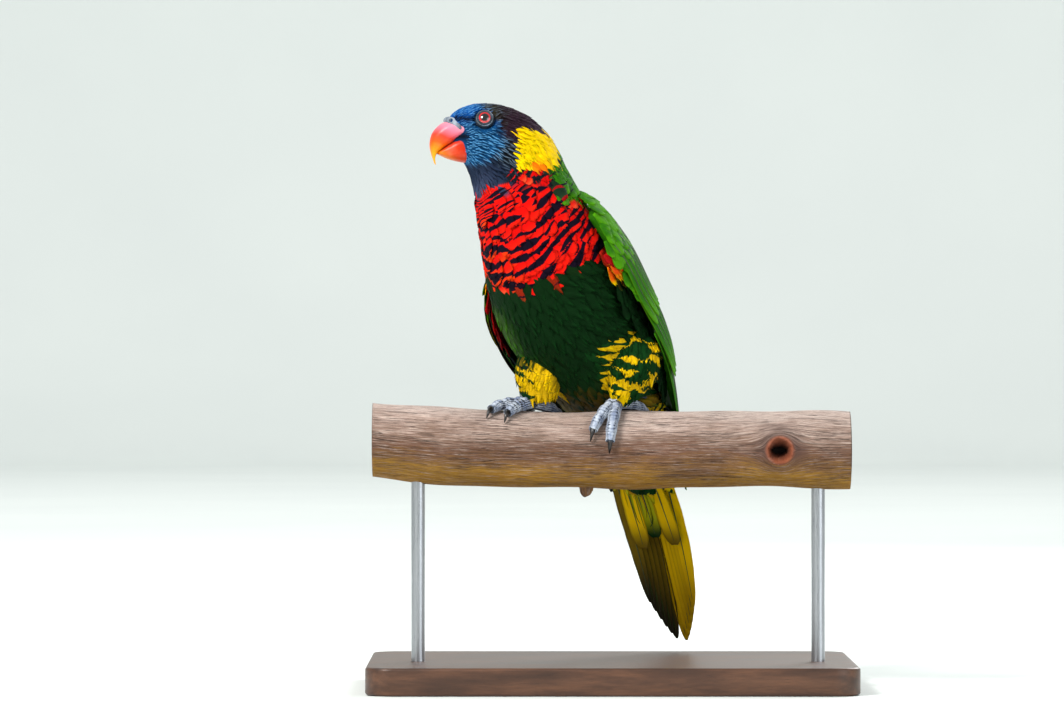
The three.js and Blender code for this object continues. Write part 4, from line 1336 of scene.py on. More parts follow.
# %% Feathers of the thighs
for side in THIGHS:
    surface = lambda u, turn: thigh(side, u, turn)
    u, turn = sow(surface, 0.4, 4.7, np.linspace(0, 360, 9), lambda u, turn: (2.1 - 0.2 * u, 2.3 - 0.25 * u),
                  chances)
    lie = lie_at(surface, lambda u: between(THIGHS[side], u)[..., :3] + BRANCH_MIDDLE, u, turn)
    length = np.interp(u, [0.9, 3, 4.7], [9.5, 8.5, 4.4]) * chances.uniform(0.85, 1.15, len(u))
    size = np.stack([length * 0.38, length, 0.22 + 0.015 * length], -1)
    coat = thigh_markings(side, u + 0.6 * length / walk_of(surface, u, turn) + chances.normal(0, 0.1, len(u)),
                          turn)
    lie = ruffled(lie, chances, 9)
    coat.root = coat.base
    set_reach(coat, surface, u, turn, lie, size[:, 0], length, thigh_rows, THIGH_TURN)
    patch = np.stack([0.02 + 0.9 * (turn % 360) / 360, 0.02 + 0.19 * u, 0 * u], -1)
    roots = plant(lie, coat, size, patch, chances, lift=0.06)
    grow_coat(f"coat_thigh_{side}", "leg", roots, "loose")

# %% [markdown]
# Wing and tail feathers are long enough to be built one by one: a shaft line, a narrow outer and a wide
# inner vane, curved across and a little hollow below. Each knows its colours above and below, and owns a
# cell of the bake map.

# %% Long feathers as closed vanes
VANE_COLUMNS, VANE_THICK, SHAFT_GIRTH = 6, 0.34, 0.32


class Vanes:
    """Long feathers collected into one mesh, and the lines that their shafts follow."""

    def __init__(self, cells):
        self.cells = cells
        self.count = 0
        self.faces, self.shafts = [], []
        self.values = {key: []
                       for key in ("points", "leaf", "base", "rim", "pale", "ink", "marks", "size", "bake")}

    def add(self, place, out, half, outline, colours, webs=(1.0, 1.0), lifts=(0.0, 0.0), camber=0.5, rows=18):
        """Place and out give a point and its way out at shares of the length. Colours are two pairs of
        vane and rim: above, then below."""
        t = 1 - (1 - np.linspace(0, 1, rows + 1)) ** 1.3
        line = place(t)
        ahead = unit(place(np.minimum(t + 0.02, 1)) - place(np.maximum(t - 0.02, 0)))
        across = unit(np.cross(ahead, out(t)))
        up = np.cross(across, ahead)
        lengths, widths = np.array(outline).T
        w = np.interp(t, lengths, widths)
        columns = VANE_COLUMNS
        ty, tx = grid(t, np.linspace(-1, 1, columns + 1))
        spread = tx * half * w[:, None] * np.where(tx < 0, webs[0], webs[1])
        nicks = 1 + 0.025 * chances.uniform(-1, 1, tx.shape) * (np.abs(tx) == 1)
        height = lifts[0] + (lifts[1] - lifts[0]) * (tx + 1) / 2 + camber * (1 - tx**2)
        top = line[:, None] + across[:, None] * (spread * nicks)[..., None] + up[:, None] * height[..., None]
        deep = VANE_THICK * (1 - 0.7 * np.abs(tx))
        under = top - up[:, None] * deep[..., None]
        n, m, first = columns + 1, tx.size, sum(len(p) for p in self.values["points"])
        quads = []
        for r in range(rows):
            for c in range(columns):
                a, b = r * n + c, (r + 1) * n + c
                quads += [(a, a + 1, b + 1, b), (m + a, m + b, m + b + 1, m + a + 1)]
            a, b = r * n, (r + 1) * n
            quads += [(a, b, m + b, m + a), (m + a + columns, m + b + columns, b + columns, a + columns)]
        for c in range(columns):
            e = rows * n + c
            quads += [(m + c, m + c + 1, c + 1, c), (e, e + 1, m + e + 1, m + e)]
        self.faces += [tuple(first + i for i in q) for q in quads]
        long = float(np.sum(np.linalg.norm(np.diff(line, axis=0), axis=1)))
        cell = np.array([self.count % self.cells, self.count // self.cells]) / self.cells
        chance = chances.uniform()
        for upper, points in ((1.0, top), (0.0, under)):
            base, rim = colours[0 if upper else 1]
            side = 0.25 + 0.22 * tx.ravel() + 0.5 * (1 - upper)
            same = {"base": COLOURS[base], "rim": COLOURS[rim], "pale": COLOURS["mist"],
                    "ink": COLOURS["bar"],
                    "marks": (0, 0, chance), "size": (2 * half * MM, long * MM, VANE_THICK * MM)}
            rows_of = {
                "points": points.reshape(-1, 3),
                "bake": cell + np.stack([side, 0.05 + 0.9 * ty.ravel()], -1) / self.cells,
                # The third leaf value is lower beneath, where the material paints shade on the vane.
                "leaf": np.stack([tx.ravel(), ty.ravel(), 0.55 + 0.45 * upper + 0 * ty.ravel()], -1),
                **{key: np.tile(value, (m, 1)) for key, value in same.items()},
            }
            for key, value in rows_of.items():
                self.values[key].append(value)
        girth = SHAFT_GIRTH * (1 - t[: rows - 1]) ** 0.7 + 0.05
        for surface, way in ((top, 1), (under, -1)):
            self.shafts.append(((surface[:, columns // 2] + up * 0.02 * way)[: rows - 1], girth))
        self.count += 1

    def piece(self, name):
        """The feathers as one object, with the bake map on its corners."""
        values = {key: np.concatenate(value) for key, value in self.values.items()}
        bake = values.pop("bake")
        made = piece_of(name, values.pop("points"), self.faces, PLUMAGE, **values)
        corners = np.zeros(len(made.data.loops), np.int32)
        made.data.loops.foreach_get("vertex_index", corners)
        layer = made.data.uv_layers.new(name="OFBake")
        layer.data.foreach_set("uv", bake[corners].astype(np.float32).ravel())
        return made


PRIMARY = [[0, 0.55], [0.25, 0.9], [0.5, 1], [0.72, 0.86], [0.88, 0.6], [0.96, 0.36], [1, 0.14]]
SECONDARY = [[0, 0.55], [0.25, 0.9], [0.6, 1], [0.82, 0.95], [0.93, 0.72], [0.98, 0.46], [1, 0.24]]
COVERT = [[0, 0.5], [0.3, 0.9], [0.6, 1], [0.84, 0.96], [0.94, 0.74], [1, 0.36]]
TAIL_VANE = [[0, 0.6], [0.3, 0.95], [0.55, 1], [0.75, 0.86], [0.9, 0.58], [0.97, 0.32], [1, 0.12]]
print("long feathers: outlines ready")

# %% [markdown]
# A shaft is a stiff tapering rod down each vane. Its line is a chain of points with a radius each, and
# Geometry Nodes sweep a small ring along it, so that shafts on curved feathers stay round and smooth.

# %% The tree that sweeps shafts
def shaft_tree():
    g = Growth("shafts", Finish="NodeSocketMaterial", Sides="NodeSocketInt")
    curve = g.node("GeometryNodeMeshToCurve", sockets={"Mesh": g.input()})
    ring = g.node("GeometryNodeCurvePrimitiveCircle", {"mode": "RADIUS"},
                  {"Resolution": g.input("Sides"), "Radius": 1.0})
    sockets = {"Curve": curve, "Profile Curve": ring, "Scale": g.attribute("girth", "FLOAT"),
               "Fill Caps": True}
    g.end(g.node("GeometryNodeCurveToMesh", sockets=sockets))
    return g


SHAFTS = shaft_tree()


print("shaft tree with", len(SHAFTS.tree.nodes), "nodes")

# %% Horn, and shafts swept of it
def horn(name, colour, tint, roughness, coat=0.0):
    """Hard horny stuff, as of shafts and claws, with fine streaks along it."""
    f = Finish(name, roughness=roughness, coat_weight=coat, coat_roughness=0.12, specular_ior_level=0.5)
    streaks = f.noise(f.place(), 420.0, 3.0)
    f.set("Base Color", f.blend(streaks.step(0.3, 0.75), colour, tint))
    f.bump(streaks, 0.00003)
    return f.material


SHAFT_HORN = horn("shaft_horn", "#18300c", "#2c4a12", 0.5)


def sweep_shafts(name, slot, lines):
    points, edges, radii = [], [], []
    for line, radius in lines:
        start = len(points)
        points += list(line * MM)
        radii += list(radius * MM)
        edges += [(start + i, start + i + 1) for i in range(len(line) - 1)]
    mesh = bpy.data.meshes.new(name)
    mesh.from_pydata(points, edges, [])
    carry(mesh, girth=radii)
    made = SHAFTS.grow(name, mesh, Finish=SHAFT_HORN, Sides=6)
    made.data.shade_smooth()
    attach(made, slot)


# %% [markdown]
# A folded wing lies along the flank in tiers: long flight feathers below, then greater, median and small
# coverts up to the shoulder, each tier lying over the next. A thin fleshy plate carries them. The underside
# is dark, with red coverts towards the front edge, where the photograph shows the far wing from below.

# %% Wings
WING_FROM, WING_PLATE_END, WING_PLATE_THINS = 6.3, 10.7, 9.6
ABOVE = ("green", "leaf")
UPPER = ABOVE, ("night", "wine")
FLIGHT = ABOVE, ("night", "steel")
TIERS = [
    (10, [8.6, 0.08, 8.4, 0.52], [12.35, 0.22, 11.9, 0.54], 4.7, 0.1, PRIMARY, FLIGHT, 20),
    (8, [8.2, 0.54, 7.9, 0.95], [11.7, 0.66, 10.9, 0.95], 5.0, 0.5, SECONDARY, FLIGHT, 18),
    (11, [7.5, 0.1, 7.3, 0.94], [9.65, 0.1, 9.4, 0.93], 4.4, 0.95, COVERT, UPPER, 14),
    (10, [6.9, 0.12, 6.8, 0.92], [8.45, 0.12, 8.3, 0.92], 4.4, 1.15, COVERT, UPPER, 12),
]
PLATE_DEPTH = {"left": 3.6, "right": 0.8}


def wing_plate(side, kind):
    rings = []
    for i in range(37):
        u = WING_FROM + (WING_PLATE_END - WING_FROM) * i / 36
        narrow = np.sin(np.pi / 2 * min(1, (i / 4 + 1.6) / 3))
        thin = 1 - max(0, (u - WING_PLATE_THINS) / 1.3)
        k = np.linspace(0, 1, 15)
        ring = []
        for upper, way in ((True, 1), (False, -1)):
            share = 0.61 + way * narrow * 0.78 * (k - 0.5)
            deep = 0.3 + thin * (PLATE_DEPTH[side] + (3.6 - PLATE_DEPTH[side]) * np.minimum(1, 2 * share))
            high = (0.0 if i else -1.6) + 1.4 * np.sin(np.pi * k) ** 0.5
            ring.append(wing_place(kind, share * 0 + u, share, high if upper else -deep))
        rings.append(np.concatenate(ring))
    return loft(rings)


def plain_plumage(name, form, colour):
    """A piece of one colour of plumage, from points and faces."""
    colours = np.tile(COLOURS[colour], (len(form[0]), 1))
    return piece_of(name, *form, PLUMAGE, base=colours, rim=colours)


def wing(side, kind):
    vanes = Vanes(8)
    lifts = (0, 0.75) if kind.side > 0 else (0.75, 0)
    for count, start, stop, half, raised, outline, colours, rows in TIERS:
        for i in range(count):
            s = i / (count - 1)
            root = [start[k] + (start[k + 2] - start[k]) * s for k in (0, 1)]
            tip = [stop[k] + (stop[k + 2] - stop[k]) * s + chances.normal(0, 0.012) for k in (0, 1)]
            at = lambda t, more=0.0: wing_place(
                kind, root[0] + (tip[0] - root[0]) * t, root[1] + (tip[1] - root[1]) * t,
                raised - 0.4 + 1.4 * t + more)
            vanes.add(at, lambda t: unit(at(t, 1.0) - at(t)), half, outline, colours, lifts=lifts,
                      webs=(1.0, 0.75) if kind.side > 0 else (0.75, 1.0), rows=rows)
    made = vanes.piece(f"wing_{side}_vanes")
    attach(made, "wing", f"wing_{side}")
    attach(plain_plumage(f"wing_{side}_plate", wing_plate(side, kind), "green"), "wing")
    sweep_shafts(f"wing_{side}_shafts", "wing", vanes.shafts)


# %% Small feathers of the wings
# The bend of the wing: how far back its front edge lies at places along it.
BEND = [5.7, 6.0, 6.4, 6.8, 7.5, 8.0], [0.65, 0.34, 0.14, 0.0, 0.02, 0.08]


def wing_coat(name, kind, start, stop, shares, pitch, length, width, lift, paint, leaves, under=False,
              bent=False):
    """Small feathers over part of a wing, above or below it."""
    surface = lambda u, turn: wing_place(kind, u, turn / 100, lift)
    sectors = np.linspace(shares[0] * 100, shares[1] * 100, 6)
    u, turn = sow(surface, start, stop, sectors, lambda u, turn: pitch, chances)
    if bent:
        shown = turn > 100 * np.interp(u, *BEND)
        u, turn = u[shown], turn[shown]
    lie = list(lie_at(surface, lambda u: section(u).middle, u, turn))
    if under:
        lie[2] = -lie[2]
    longs = length * chances.uniform(0.88, 1.12, len(u))
    size = np.stack([width * chances.uniform(0.9, 1.1, len(u)), longs, 0.4 + 0 * u], -1)
    coat = paint(u, turn / 100)
    patch = np.stack([0.02 + 0.9 * turn / 100, 0.02 + 0.9 * (u - start) / (stop - start), 0 * u], -1)
    grow_coat(name, "wing", plant(ruffled(lie, chances, 7), coat, size, patch, chances, lift=0.09), leaves)


def small_coverts(u, share):
    coat = Coat(len(u), "green")
    coat.lay(np.ones(len(u)), "green", "leaf")
    coat.lay(0.7 * (chances.uniform(0, 1, len(u)) > 0.6), "leaf", "leaf")
    return coat


def under_coverts(end, last, dark):
    """Red feathers under the wing, another colour where they end, then dark ones."""
    def paint(u, share):
        coat = Coat(len(u), "wine")
        coat.lay(0.75 * chances.uniform(0, 1, len(u)), "red", "red")
        coat.lay(smooth(u, end - 0.5, end - 0.2), *last)
        coat.lay(smooth(u, end - 0.1, end + 0.05), *dark)
        return coat
    return paint


# %% Both wings
BRIGHT = ("orange", "nape"), ("forest", "moss")
LININGS = {"left": (-3.0, under_coverts(7.35, *BRIGHT)),
           "right": (-1.3, under_coverts(8.3, ("wine", "wine"), ("night", "steel")))}
for side, kind in WINGS.items():
    wing(side, kind)
    wing_coat(f"coat_shoulder_{side}", kind, 5.7, 7.75, (-0.05, 1.1), (3.0, 3.6), 8.5, 5.6, 1.3,
              small_coverts,
              "rounded", bent=True)
    wing_coat(f"coat_edge_{side}", kind, 6.9, 7.25, (-0.08, 0.04), (2.4, 2.0), 6.6, 2.8, 0.3,
              under_coverts(7.5, *BRIGHT), "loose")
    wing_coat(f"coat_underwing_{side}", kind, 6.9, 9.9, (-0.04, 0.45), (4.0, 4.6), 9.5, 6.4, *LININGS[side],
              "rounded", under=True)

# %% [markdown]
# The tail is a narrow wedge of twelve tapered feathers, the middle pair longest and uppermost. It is
# seen from below: bright golden on one side, partly painted light shining through, and dark olive on the
# other, painted shade, under short yellow-green coverts.

# %% Tail
TAIL_TIP, TAIL_STEP = 13.98, 0.09


def tail_place(u, across, above):
    s = section(u)
    return s.middle + s.left * np.asarray(across)[..., None] + s.dorsal * np.asarray(above)[..., None]


def tail_feather(vanes, start, stop, tip, height, half, outline, colours, **shape):
    at = lambda t: tail_place(TRUNK_END + 0.08 + (tip - TRUNK_END - 0.08) * t, start + (stop - start) * t,
                              height(t))
    vanes.add(at, lambda t: section(TRUNK_END + (tip - TRUNK_END) * t).dorsal, half, outline, colours,
              **shape)


def tail():
    vanes = Vanes(8)
    for pair in range(6):
        for side in (1, -1):
            tip = TAIL_TIP - TAIL_STEP * pair - (0.03 if side < 0 else 0)
            # Undersides: bright nape yellow on the bird's left, partly painted light shining through, and
            # dark olive painted shade on its right.
            below = ("nape", "gold") if side > 0 else ("tail_olive_and_shade", "olive")
            height = lambda t: 1.2 - 0.48 * pair - t
            tail_feather(vanes, side * (1.5 + 2.3 * pair), side * (2.3 + 1.75 * pair), tip, height,
                         5.2 - 0.18 * pair, TAIL_VANE, (ABOVE, below), camber=0.25, rows=20,
                         webs=(1.0, 0.7) if side < 0 else (0.7, 1.0))
    for above, set_of in ((-4.6, [[-4.5, -4.3, 12.62], [0.5, 0.5, 12.82], [-6.5, -7.4, 12.95], [8, 9.5, 12.9],
                                  [4.5, 4.8, 12.6], [-1.8, -2.2, 12.7]]),
                          (3.6, [[-5.5, -4.5, 12.7], [0, 0, 12.95], [5.5, 4.5, 12.7]])):
        for start, stop, tip in set_of:
            below = ("lime", "moss") if above < 0 and abs(start) < 2 else ("nape", "tail_olive_and_shade")
            tail_feather(vanes, start, stop, tip, lambda t: above * (1 - 0.2 * t), 4.6, COVERT,
                         (ABOVE, below))
    made = vanes.piece("tail_vanes")
    attach(made, "tail", "tail")
    sweep_shafts("tail_shafts", "tail", vanes.shafts)
    rings = []
    for i in range(13):
        s, size = section(TRUNK_END - 0.3 + 0.08 * i), 1 - 0.07 * i
        rings.append([around(s, np.array(t), 13 * size + 1, 6 * size, 6.4 * size) for t in circle(32, 360)])
    attach(plain_plumage("tail_root", loft(rings), "moss"), "tail")


tail()

# %% [markdown]
# The bill is horn over bone: a deep hooked upper half that closes over a short scoop. It is lofted from a
# few named sections. Its colour runs from rose at the root to orange and then yellow at the hook, over fine
# growth lines. The pale pink on top near the root is partly the horn's rose and partly a painted highlight.

# %% Bill
BILL_SIDES, BILL_LINES = 48, 90.0
# Each row: ahead and height of the upper line, ahead and height of the lower line, half width.
UPPER_BILL = [[-2.4, 6.6, -4.6, 0.5, 6.5], [1.4, 7.3, -2.6, 0.2, 6.7], [5.0, 6.6, 0.2, -1.1, 6.3],
              [8.1, 4.5, 2.9, -2.9, 5.5], [10.5, 1.3, 5.8, -4.8, 4.4], [11.4, -2.8, 8.2, -7.0, 3.0],
              [10.9, -6.8, 9.1, -9.2, 1.7], [9.4, -11.4, 8.7, -12.0, 0.5]]
LOWER_BILL = [[-4.6, 1.3, -7.4, -9.8, 6.2], [-2.4, 0.5, -5.2, -10.8, 6.5], [1.0, -1.3, -1.4, -10.5, 5.9],
              [4.5, -3.9, 3.2, -9.4, 4.5], [7.2, -5.8, 6.6, -8.0, 3.1], [8.2, -6.7, 8.0, -7.4, 1.3]]


def bill_rings(rows, steps, sides, round_up, round_down, keel=0.0):
    table = between(rows, np.linspace(0, len(rows) - 1, steps))
    turn = circle(sides)
    across, high = np.sin(turn), np.cos(turn)
    rings = []
    for a, b, c, d, wide in table:
        middle, over = on_head((a + c) / 2, (b + d) / 2), on_head(a, b)
        power = np.where(high > 0, round_up, round_down)
        lift = np.sign(high) * np.abs(high) ** power * (1 + keel * np.exp(-((turn - np.pi) / 0.5) ** 2))
        side = wide * np.sign(across) * np.abs(across) ** 0.85
        rings.append(middle + HEAD_LEFT * side[:, None] + (over - middle) * lift[:, None])
    return np.array(rings)


print("bill sections:", len(UPPER_BILL), "above and", len(LOWER_BILL), "below")

# %% The bill's horn
def horn_of_bill(name, stops):
    """Smooth translucent horn, coloured along its length, with growth lines."""
    f = Finish(name, roughness=0.42, coat_weight=0.15, coat_roughness=0.2, specular_ior_level=0.2)
    grade = f.read("grade", "Fac")
    here = f.place()
    cloud = f.noise(here, 160.0, 3.0)
    ramp = f.ramp(grade + (cloud - 0.5) * 0.1, stops)
    growth = (grade * BILL_LINES + cloud * 9.0).wave()
    f.set("Base Color", f.blend(cloud.step(0.45, 0.75) * 0.1, ramp, "#ffb0a0"))
    f.bump(growth * 0.12 + f.noise(here, 500.0, 3.0), 0.00006)
    return f.material


# Painted highlight: the pale pinks near the root are partly the horn's rose and partly a highlight; the lower
# side is moved on towards orange, so the top stays palest.
ROSE_AND_HIGHLIGHT = [(0.0, "#c86478"), (0.14, "#f09cb0"), (0.42, "#ec7088"), (0.56, "#dc3a24"),
        (0.7, "#e45406"), (0.83, "#ea8a02"), (1.0, "#eea000")]
SCOOP = [(0.0, "#981402"), (0.4, "#b81a01"), (0.75, "#cc3a01"), (1.0, "#dc7004")]
for name, rows, steps, up, down, stops, keel, warmer in (
    ("bill_upper", UPPER_BILL, 72, 0.85, 0.7, ROSE_AND_HIGHLIGHT, 0.0, 0.24),
    ("bill_lower", LOWER_BILL, 44, 0.55, 0.85, SCOOP, 0.04, 0.384),
):
    points, faces = loft(bill_rings(rows, steps, BILL_SIDES, up, down, keel))
    low = np.tile(0.5 - 0.5 * np.cos(circle(BILL_SIDES)), steps)
    grade = np.concatenate([np.repeat(np.linspace(0, 1, steps), BILL_SIDES) + warmer * low, [0, 1]])
    made = piece_of(f"{name}_horn", points, faces, horn_of_bill(f"{name}_horn", stops), grade=grade)
    attach(made, "bill", name)

# %% [markdown]
# Over the root of the bill lies the cere, a bare swollen fold with the nostrils in it. It is a bent rod of
# soft skin, from which two small balls are cut for the nostrils.

# %% Cere and nostrils
NOSTRIL_RADIUS = 0.95
HALF_CERE = [[-1.2, 3.4, 6.5, 0.5], [-0.2, 4.6, 6.1, 1.1], [0.9, 5.8, 5.3, 1.55], [2.2, 6.7, 4.0, 1.8],
             [3.2, 7.2, 2.1, 1.75]]
cere_rows = HALF_CERE + [[3.6, 7.3, 0, 1.5]] + [[a, b, -c, r] for a, b, c, r in HALF_CERE[::-1]]
cere_line = between(cere_rows, np.linspace(0, len(cere_rows) - 1, 90))
cere_path = np.column_stack([on_head(*cere_line[:, :3].T), cere_line[:, 3]])


def soft_skin(name, dark, light, grain, depth, rough=0.45):
    """Bare soft skin with fine grains and shallow creases."""
    f = Finish(name, roughness=rough, specular_ior_level=0.4, subsurface_weight=0.1, subsurface_scale=0.0008)
    here = f.place()
    f.set("Base Color", f.blend(f.noise(here, 340.0, 4.0).step(0.3, 0.7), dark, light))
    f.bump(f.cells(here, grain) + f.noise(here, 500.0, 3.0) * 0.6, depth)
    return f.material


CERE = soft_skin("cere_skin", "#5f6874", "#98a2ae", 700.0, 0.00012, rough=0.65)
cere = piece_of("cere", *loft(limb(cere_path, 28, side=HEAD_AHEAD)), CERE)
ball_u, ball_turn = grid(np.linspace(0, np.pi, 17)[1:-1], circle(24))
UNIT_BALL = np.stack([np.sin(ball_u) * np.cos(ball_turn), np.sin(ball_u) * np.sin(ball_turn), np.cos(ball_u)],
                     -1)
nostrils = [piece_of("nostril", *loft(on_head(3.0, 7.2, side * 5.2) + UNIT_BALL * NOSTRIL_RADIUS), CERE)
            for side in (1, -1)]
join(cere, nostrils, "DIFFERENCE")
cere.data.shade_smooth()
attach(cere, "head")

# %% [markdown]
# The eye is a ball with a clear wet front, a dark pupil and a red iris. Round it the lids make a bare grey
# ring, with a thick rim that hugs the ball and folds and grains outside it. Both are turned about the eye's
# own axis.

# %% Eyes and lids
def eye_frame(side):
    axis = eye_axis(side)
    front = unit(HEAD_AHEAD - axis * (HEAD_AHEAD @ axis))
    return axis, front, np.cross(axis, front)


def turned(side, profile, sides, wave):
    """A ring about the eye's axis from rows of radius and height, each radius widened by wave(angle)."""
    axis, front, over = eye_frame(side)
    angle = circle(sides)
    ring = front * np.cos(angle)[:, None] + over * np.sin(angle)[:, None]
    return np.array([eye_middle(side) + ring * (r * wave(angle, r))[:, None] + axis * h for r, h in profile])


print("an eye looks up by", round(float(HEAD_UP @ eye_axis(1)), 2), "of its axis")

# %% The eye's colours
IRIS_RADIUS = 2.75


def iris_finish():
    f = Finish("eye_ball", roughness=0.12, coat_weight=1.0, coat_roughness=0.02, specular_ior_level=0.6)
    radius = f.read("radius", "Fac")
    angle = f.read("angle", "Fac")
    fibres = f.noise(f.joined(angle * 9, radius * 1.2, 0.0), 3.0, 4.0)
    ramp = f.ramp(radius / IRIS_RADIUS + (fibres - 0.5) * 0.06, [
        (0.0, "#020203"), (0.55, "#030304"), (0.6, "#2c0a08"), (0.67, "#8a0c0e"), (0.8, "#c81018"),
        (0.92, "#a00c14"), (1.0, "#0a0506")])
    f.set("Base Color", f.blend((fibres - 0.45).step(0, 0.25) * radius.step(1.5, 1.9) * 0.3, ramp, "#e0303a"))
    return f.material


IRIS = iris_finish()
LID = soft_skin("lid_skin", "#0e141c", "#2e3a48", 1100.0, 0.00016)
LID_RIM = soft_skin("lid_rim", "#243040", "#8ea6bc", 1500.0, 0.00008)
LID_PROFILE = [(2.3, 2.6), (2.42, 3.1), (2.56, 3.32), (2.74, 3.3), (2.94, 3.1), (3.12, 2.84), (3.26, 2.7),
               (3.42, 2.74),
               (3.56, 2.7), (3.66, 2.56), (3.78, 2.5), (3.9, 2.3), (4.05, 1.9), (4.2, 1.2), (4.3, 0.5),
               (4.0, 0.0),
               (3.4, 0.4), (2.9, 1.4)]
RIM_HEIGHT, RIM_FROM, RIM_TO = 2.6, 3.36, 3.6
for side, name in ((1, "left"), (-1, "right")):
    axis, front, over = eye_frame(side)
    globe = [(EYE_RADIUS * np.sin(t), EYE_RADIUS * np.cos(t)) for t in np.linspace(0, np.pi, 66)[1:-1]]
    points, faces = loft(turned(side, globe, 64, lambda a, r: 1 + 0 * a))
    d = points - eye_middle(side)
    out = d @ axis
    radius = np.linalg.norm(d - out[:, None] * axis, axis=1) + 9 * (out < 0)
    ball = piece_of(f"eye_{name}_ball", points, faces, IRIS, radius=radius,
                    angle=np.arctan2(d @ over, d @ front))
    attach(ball, "eye", f"eye_{name}")
    profile = between(LID_PROFILE + LID_PROFILE[:1], np.linspace(0, len(LID_PROFILE), 100)[:-1])
    beads = lambda a, r: (1 + 0.04 * np.cos(a) ** 2 * (r < 3.5)
                          + 0.014 * np.sin(37 * a + 4 * r) * (r > 3.25) * (r < 4.1))
    ring = turned(side, profile, 124, beads)
    count, n = ring.shape[:2]
    faces = [(r * n + k, r * n + (k + 1) % n, (r + 1) % count * n + (k + 1) % n, (r + 1) % count * n + k)
             for r in range(count) for k in range(n)]
    lid = piece_of(f"lid_{name}", ring.reshape(-1, 3), faces, LID)
    lid.data.materials.append(LID_RIM)
    on_rim = [RIM_FROM < profile[f[0] // n][0] < RIM_TO and profile[f[0] // n][1] > RIM_HEIGHT for f in faces]
    lid.data.polygons.foreach_set("material_index", np.array(on_rim, np.int32))
    outward_faces(lid)
    attach(lid, "head")

# %% [markdown]
# Parrots have two toes in front and two behind. The toes' tops carry cross scales like small shields, their
# sides a net of grains, and each ends in a black hooked claw. Scales are set along the toes by the coat
# tree.

# %% Scales and claws
SCALE_SKIN = bare_skin_finish("scale_skin", "#74809a", "#c4ccd8", 0.00005)
SHIELD = [[0, 0.75], [0.3, 1], [0.7, 1], [0.9, 0.8], [1, 0.5]]
for name, cuts, torn in (("shield", 4, 0.12), ("grain", 2, 0.1)):
    LEAVES[name] = collection_of(name,
                                 [leaf_mesh(f"{name}_{i}", SHIELD, cuts, cuts, torn, rng) for i in range(3)])


def scale_roots(path):
    """Shields along a toe's top and grains over its sides."""
    shields, grains = [], []
    walk = np.concatenate([[0], np.cumsum(np.linalg.norm(np.diff(path[:, :3], axis=0), axis=1))])
    at = lambda s: np.array([np.interp(s, walk, path[:, k]) for k in range(4)])
    for s in np.arange(1.2, walk[-1] - 0.8, 1.25):
        here, after = at(s), at(s + 0.4)
        ahead = unit(after[:3] - here[:3])
        home = np.array([here[0], *BRANCH_MIDDLE[1:]])
        top = unit(here[:3] - home)
        top = unit(top - ahead * (top @ ahead))
        side = np.cross(ahead, top)
        shields.append((here[:3] + top * (here[3] - 0.08), ahead, top, 1.5 * here[3], 1.75))
        for ring, angle in enumerate(np.radians([52, 74, 96, 118, 140])):
            for way in (1, -1):
                for half in (0, 0.62):
                    here = at(min(s + half + 0.3 * (ring % 2), walk[-1]))
                    out = top * np.cos(angle) + side * way * np.sin(angle)
                    grains.append((here[:3] + out * (here[3] - 0.06), ahead, out, 0.95, 0.9))
    return shields, grains


def scatter(name, places, leaves, thick):
    """Sets scales on the feet by the coat tree, each a little tilted and bent over the toe."""
    p, ahead, up, wide, long = (np.array([row[k] for row in places]) for k in range(5))
    tilt = 0.07
    count = len(p)
    size = np.stack([wide, long, thick + 0 * wide], -1) * MM * chances.uniform(0.92, 1.08, (count, 1))
    flat = np.zeros((count, 3))
    mesh = mesh_of("roots", p * MM, [], ahead=ahead + up * tilt, up=up - ahead * tilt, size=size, patch=flat,
                   bend=flat + [0.35 / MM, 0.02 / MM, 0], pick=chances.integers(0, 3, count).astype(float))
    grow_coat(name, "foot", mesh, leaves, 0.03, SCALE_SKIN)


shields, grains = [], []
for *_, path in toes():
    a, b = scale_roots(path)
    shields, grains = shields + a, grains + b
scatter("toe_shields", shields, "shield", 0.3)
scatter("toe_grains", grains, "grain", 0.2)

# %% Claws
CLAW_LENGTH = 5.2
CLAW = horn("claw_horn", "#060506", "#18120f", 0.35, coat=0.2)
for side, i, toe, _ in toes():
    (x0, t0), (x1, t1) = toe[-2:]
    dx, dt = (x1 - x0) * 0.5, math.radians(t1 - t0) * BRANCH_RADIUS
    length = math.hypot(dx, dt)
    radius = TOE_RADIUS * TOE_SHARES[-1, 0]
    t = np.linspace(0, 1, 28)
    reach = -1.4 + (CLAW_LENGTH + 1.7) * t / (1 + 0.15 * t)
    girth = radius * 0.62 * (1 - t) ** 0.8 + 0.16
    above = np.maximum(radius + 0.3 + 0.8 * np.sin(np.pi * t) - (radius - girth) * t**1.5, girth + 0.3)
    place = beside_branch(x1 + dx / length * reach, math.radians(t1) + dt / length * reach / BRANCH_RADIUS,
                          above)
    claw = piece_of(f"claw_{side}_{i + 1}_horn", *loft(limb(np.column_stack([place, girth]), 20, flat=1.12)),
                    CLAW)
    attach(claw, "claw", f"claw_{side}_{i + 1}")

# %% [markdown]
# The perch is a cut length of weathered branch. Its grain runs along it like water and parts round the
# knot, so the mesh carries a stream value: lines of even value pass the knot as a current passes a post.
# Bark colour, cracks and fine ridges all follow that value. The sawn ends show growth rings.

# %% Perch
BRANCH_FROM_KNOT = 5.4
KNOT_DEPTH = 11.0


def ripple(values, seed, count=9):
    """A sum of waves of random lengths, between about -1 and 1."""
    draw = np.random.default_rng(seed)
    total = 0 * values
    for n in range(count):
        total = total + np.sin(values * draw.uniform(0.5, 1.6) * 1.5**n + draw.uniform(0, 6.3)) * 0.75**n
    return total / 3.2


print("ripple at 1:", round(float(ripple(1.0, SEED)), 2))

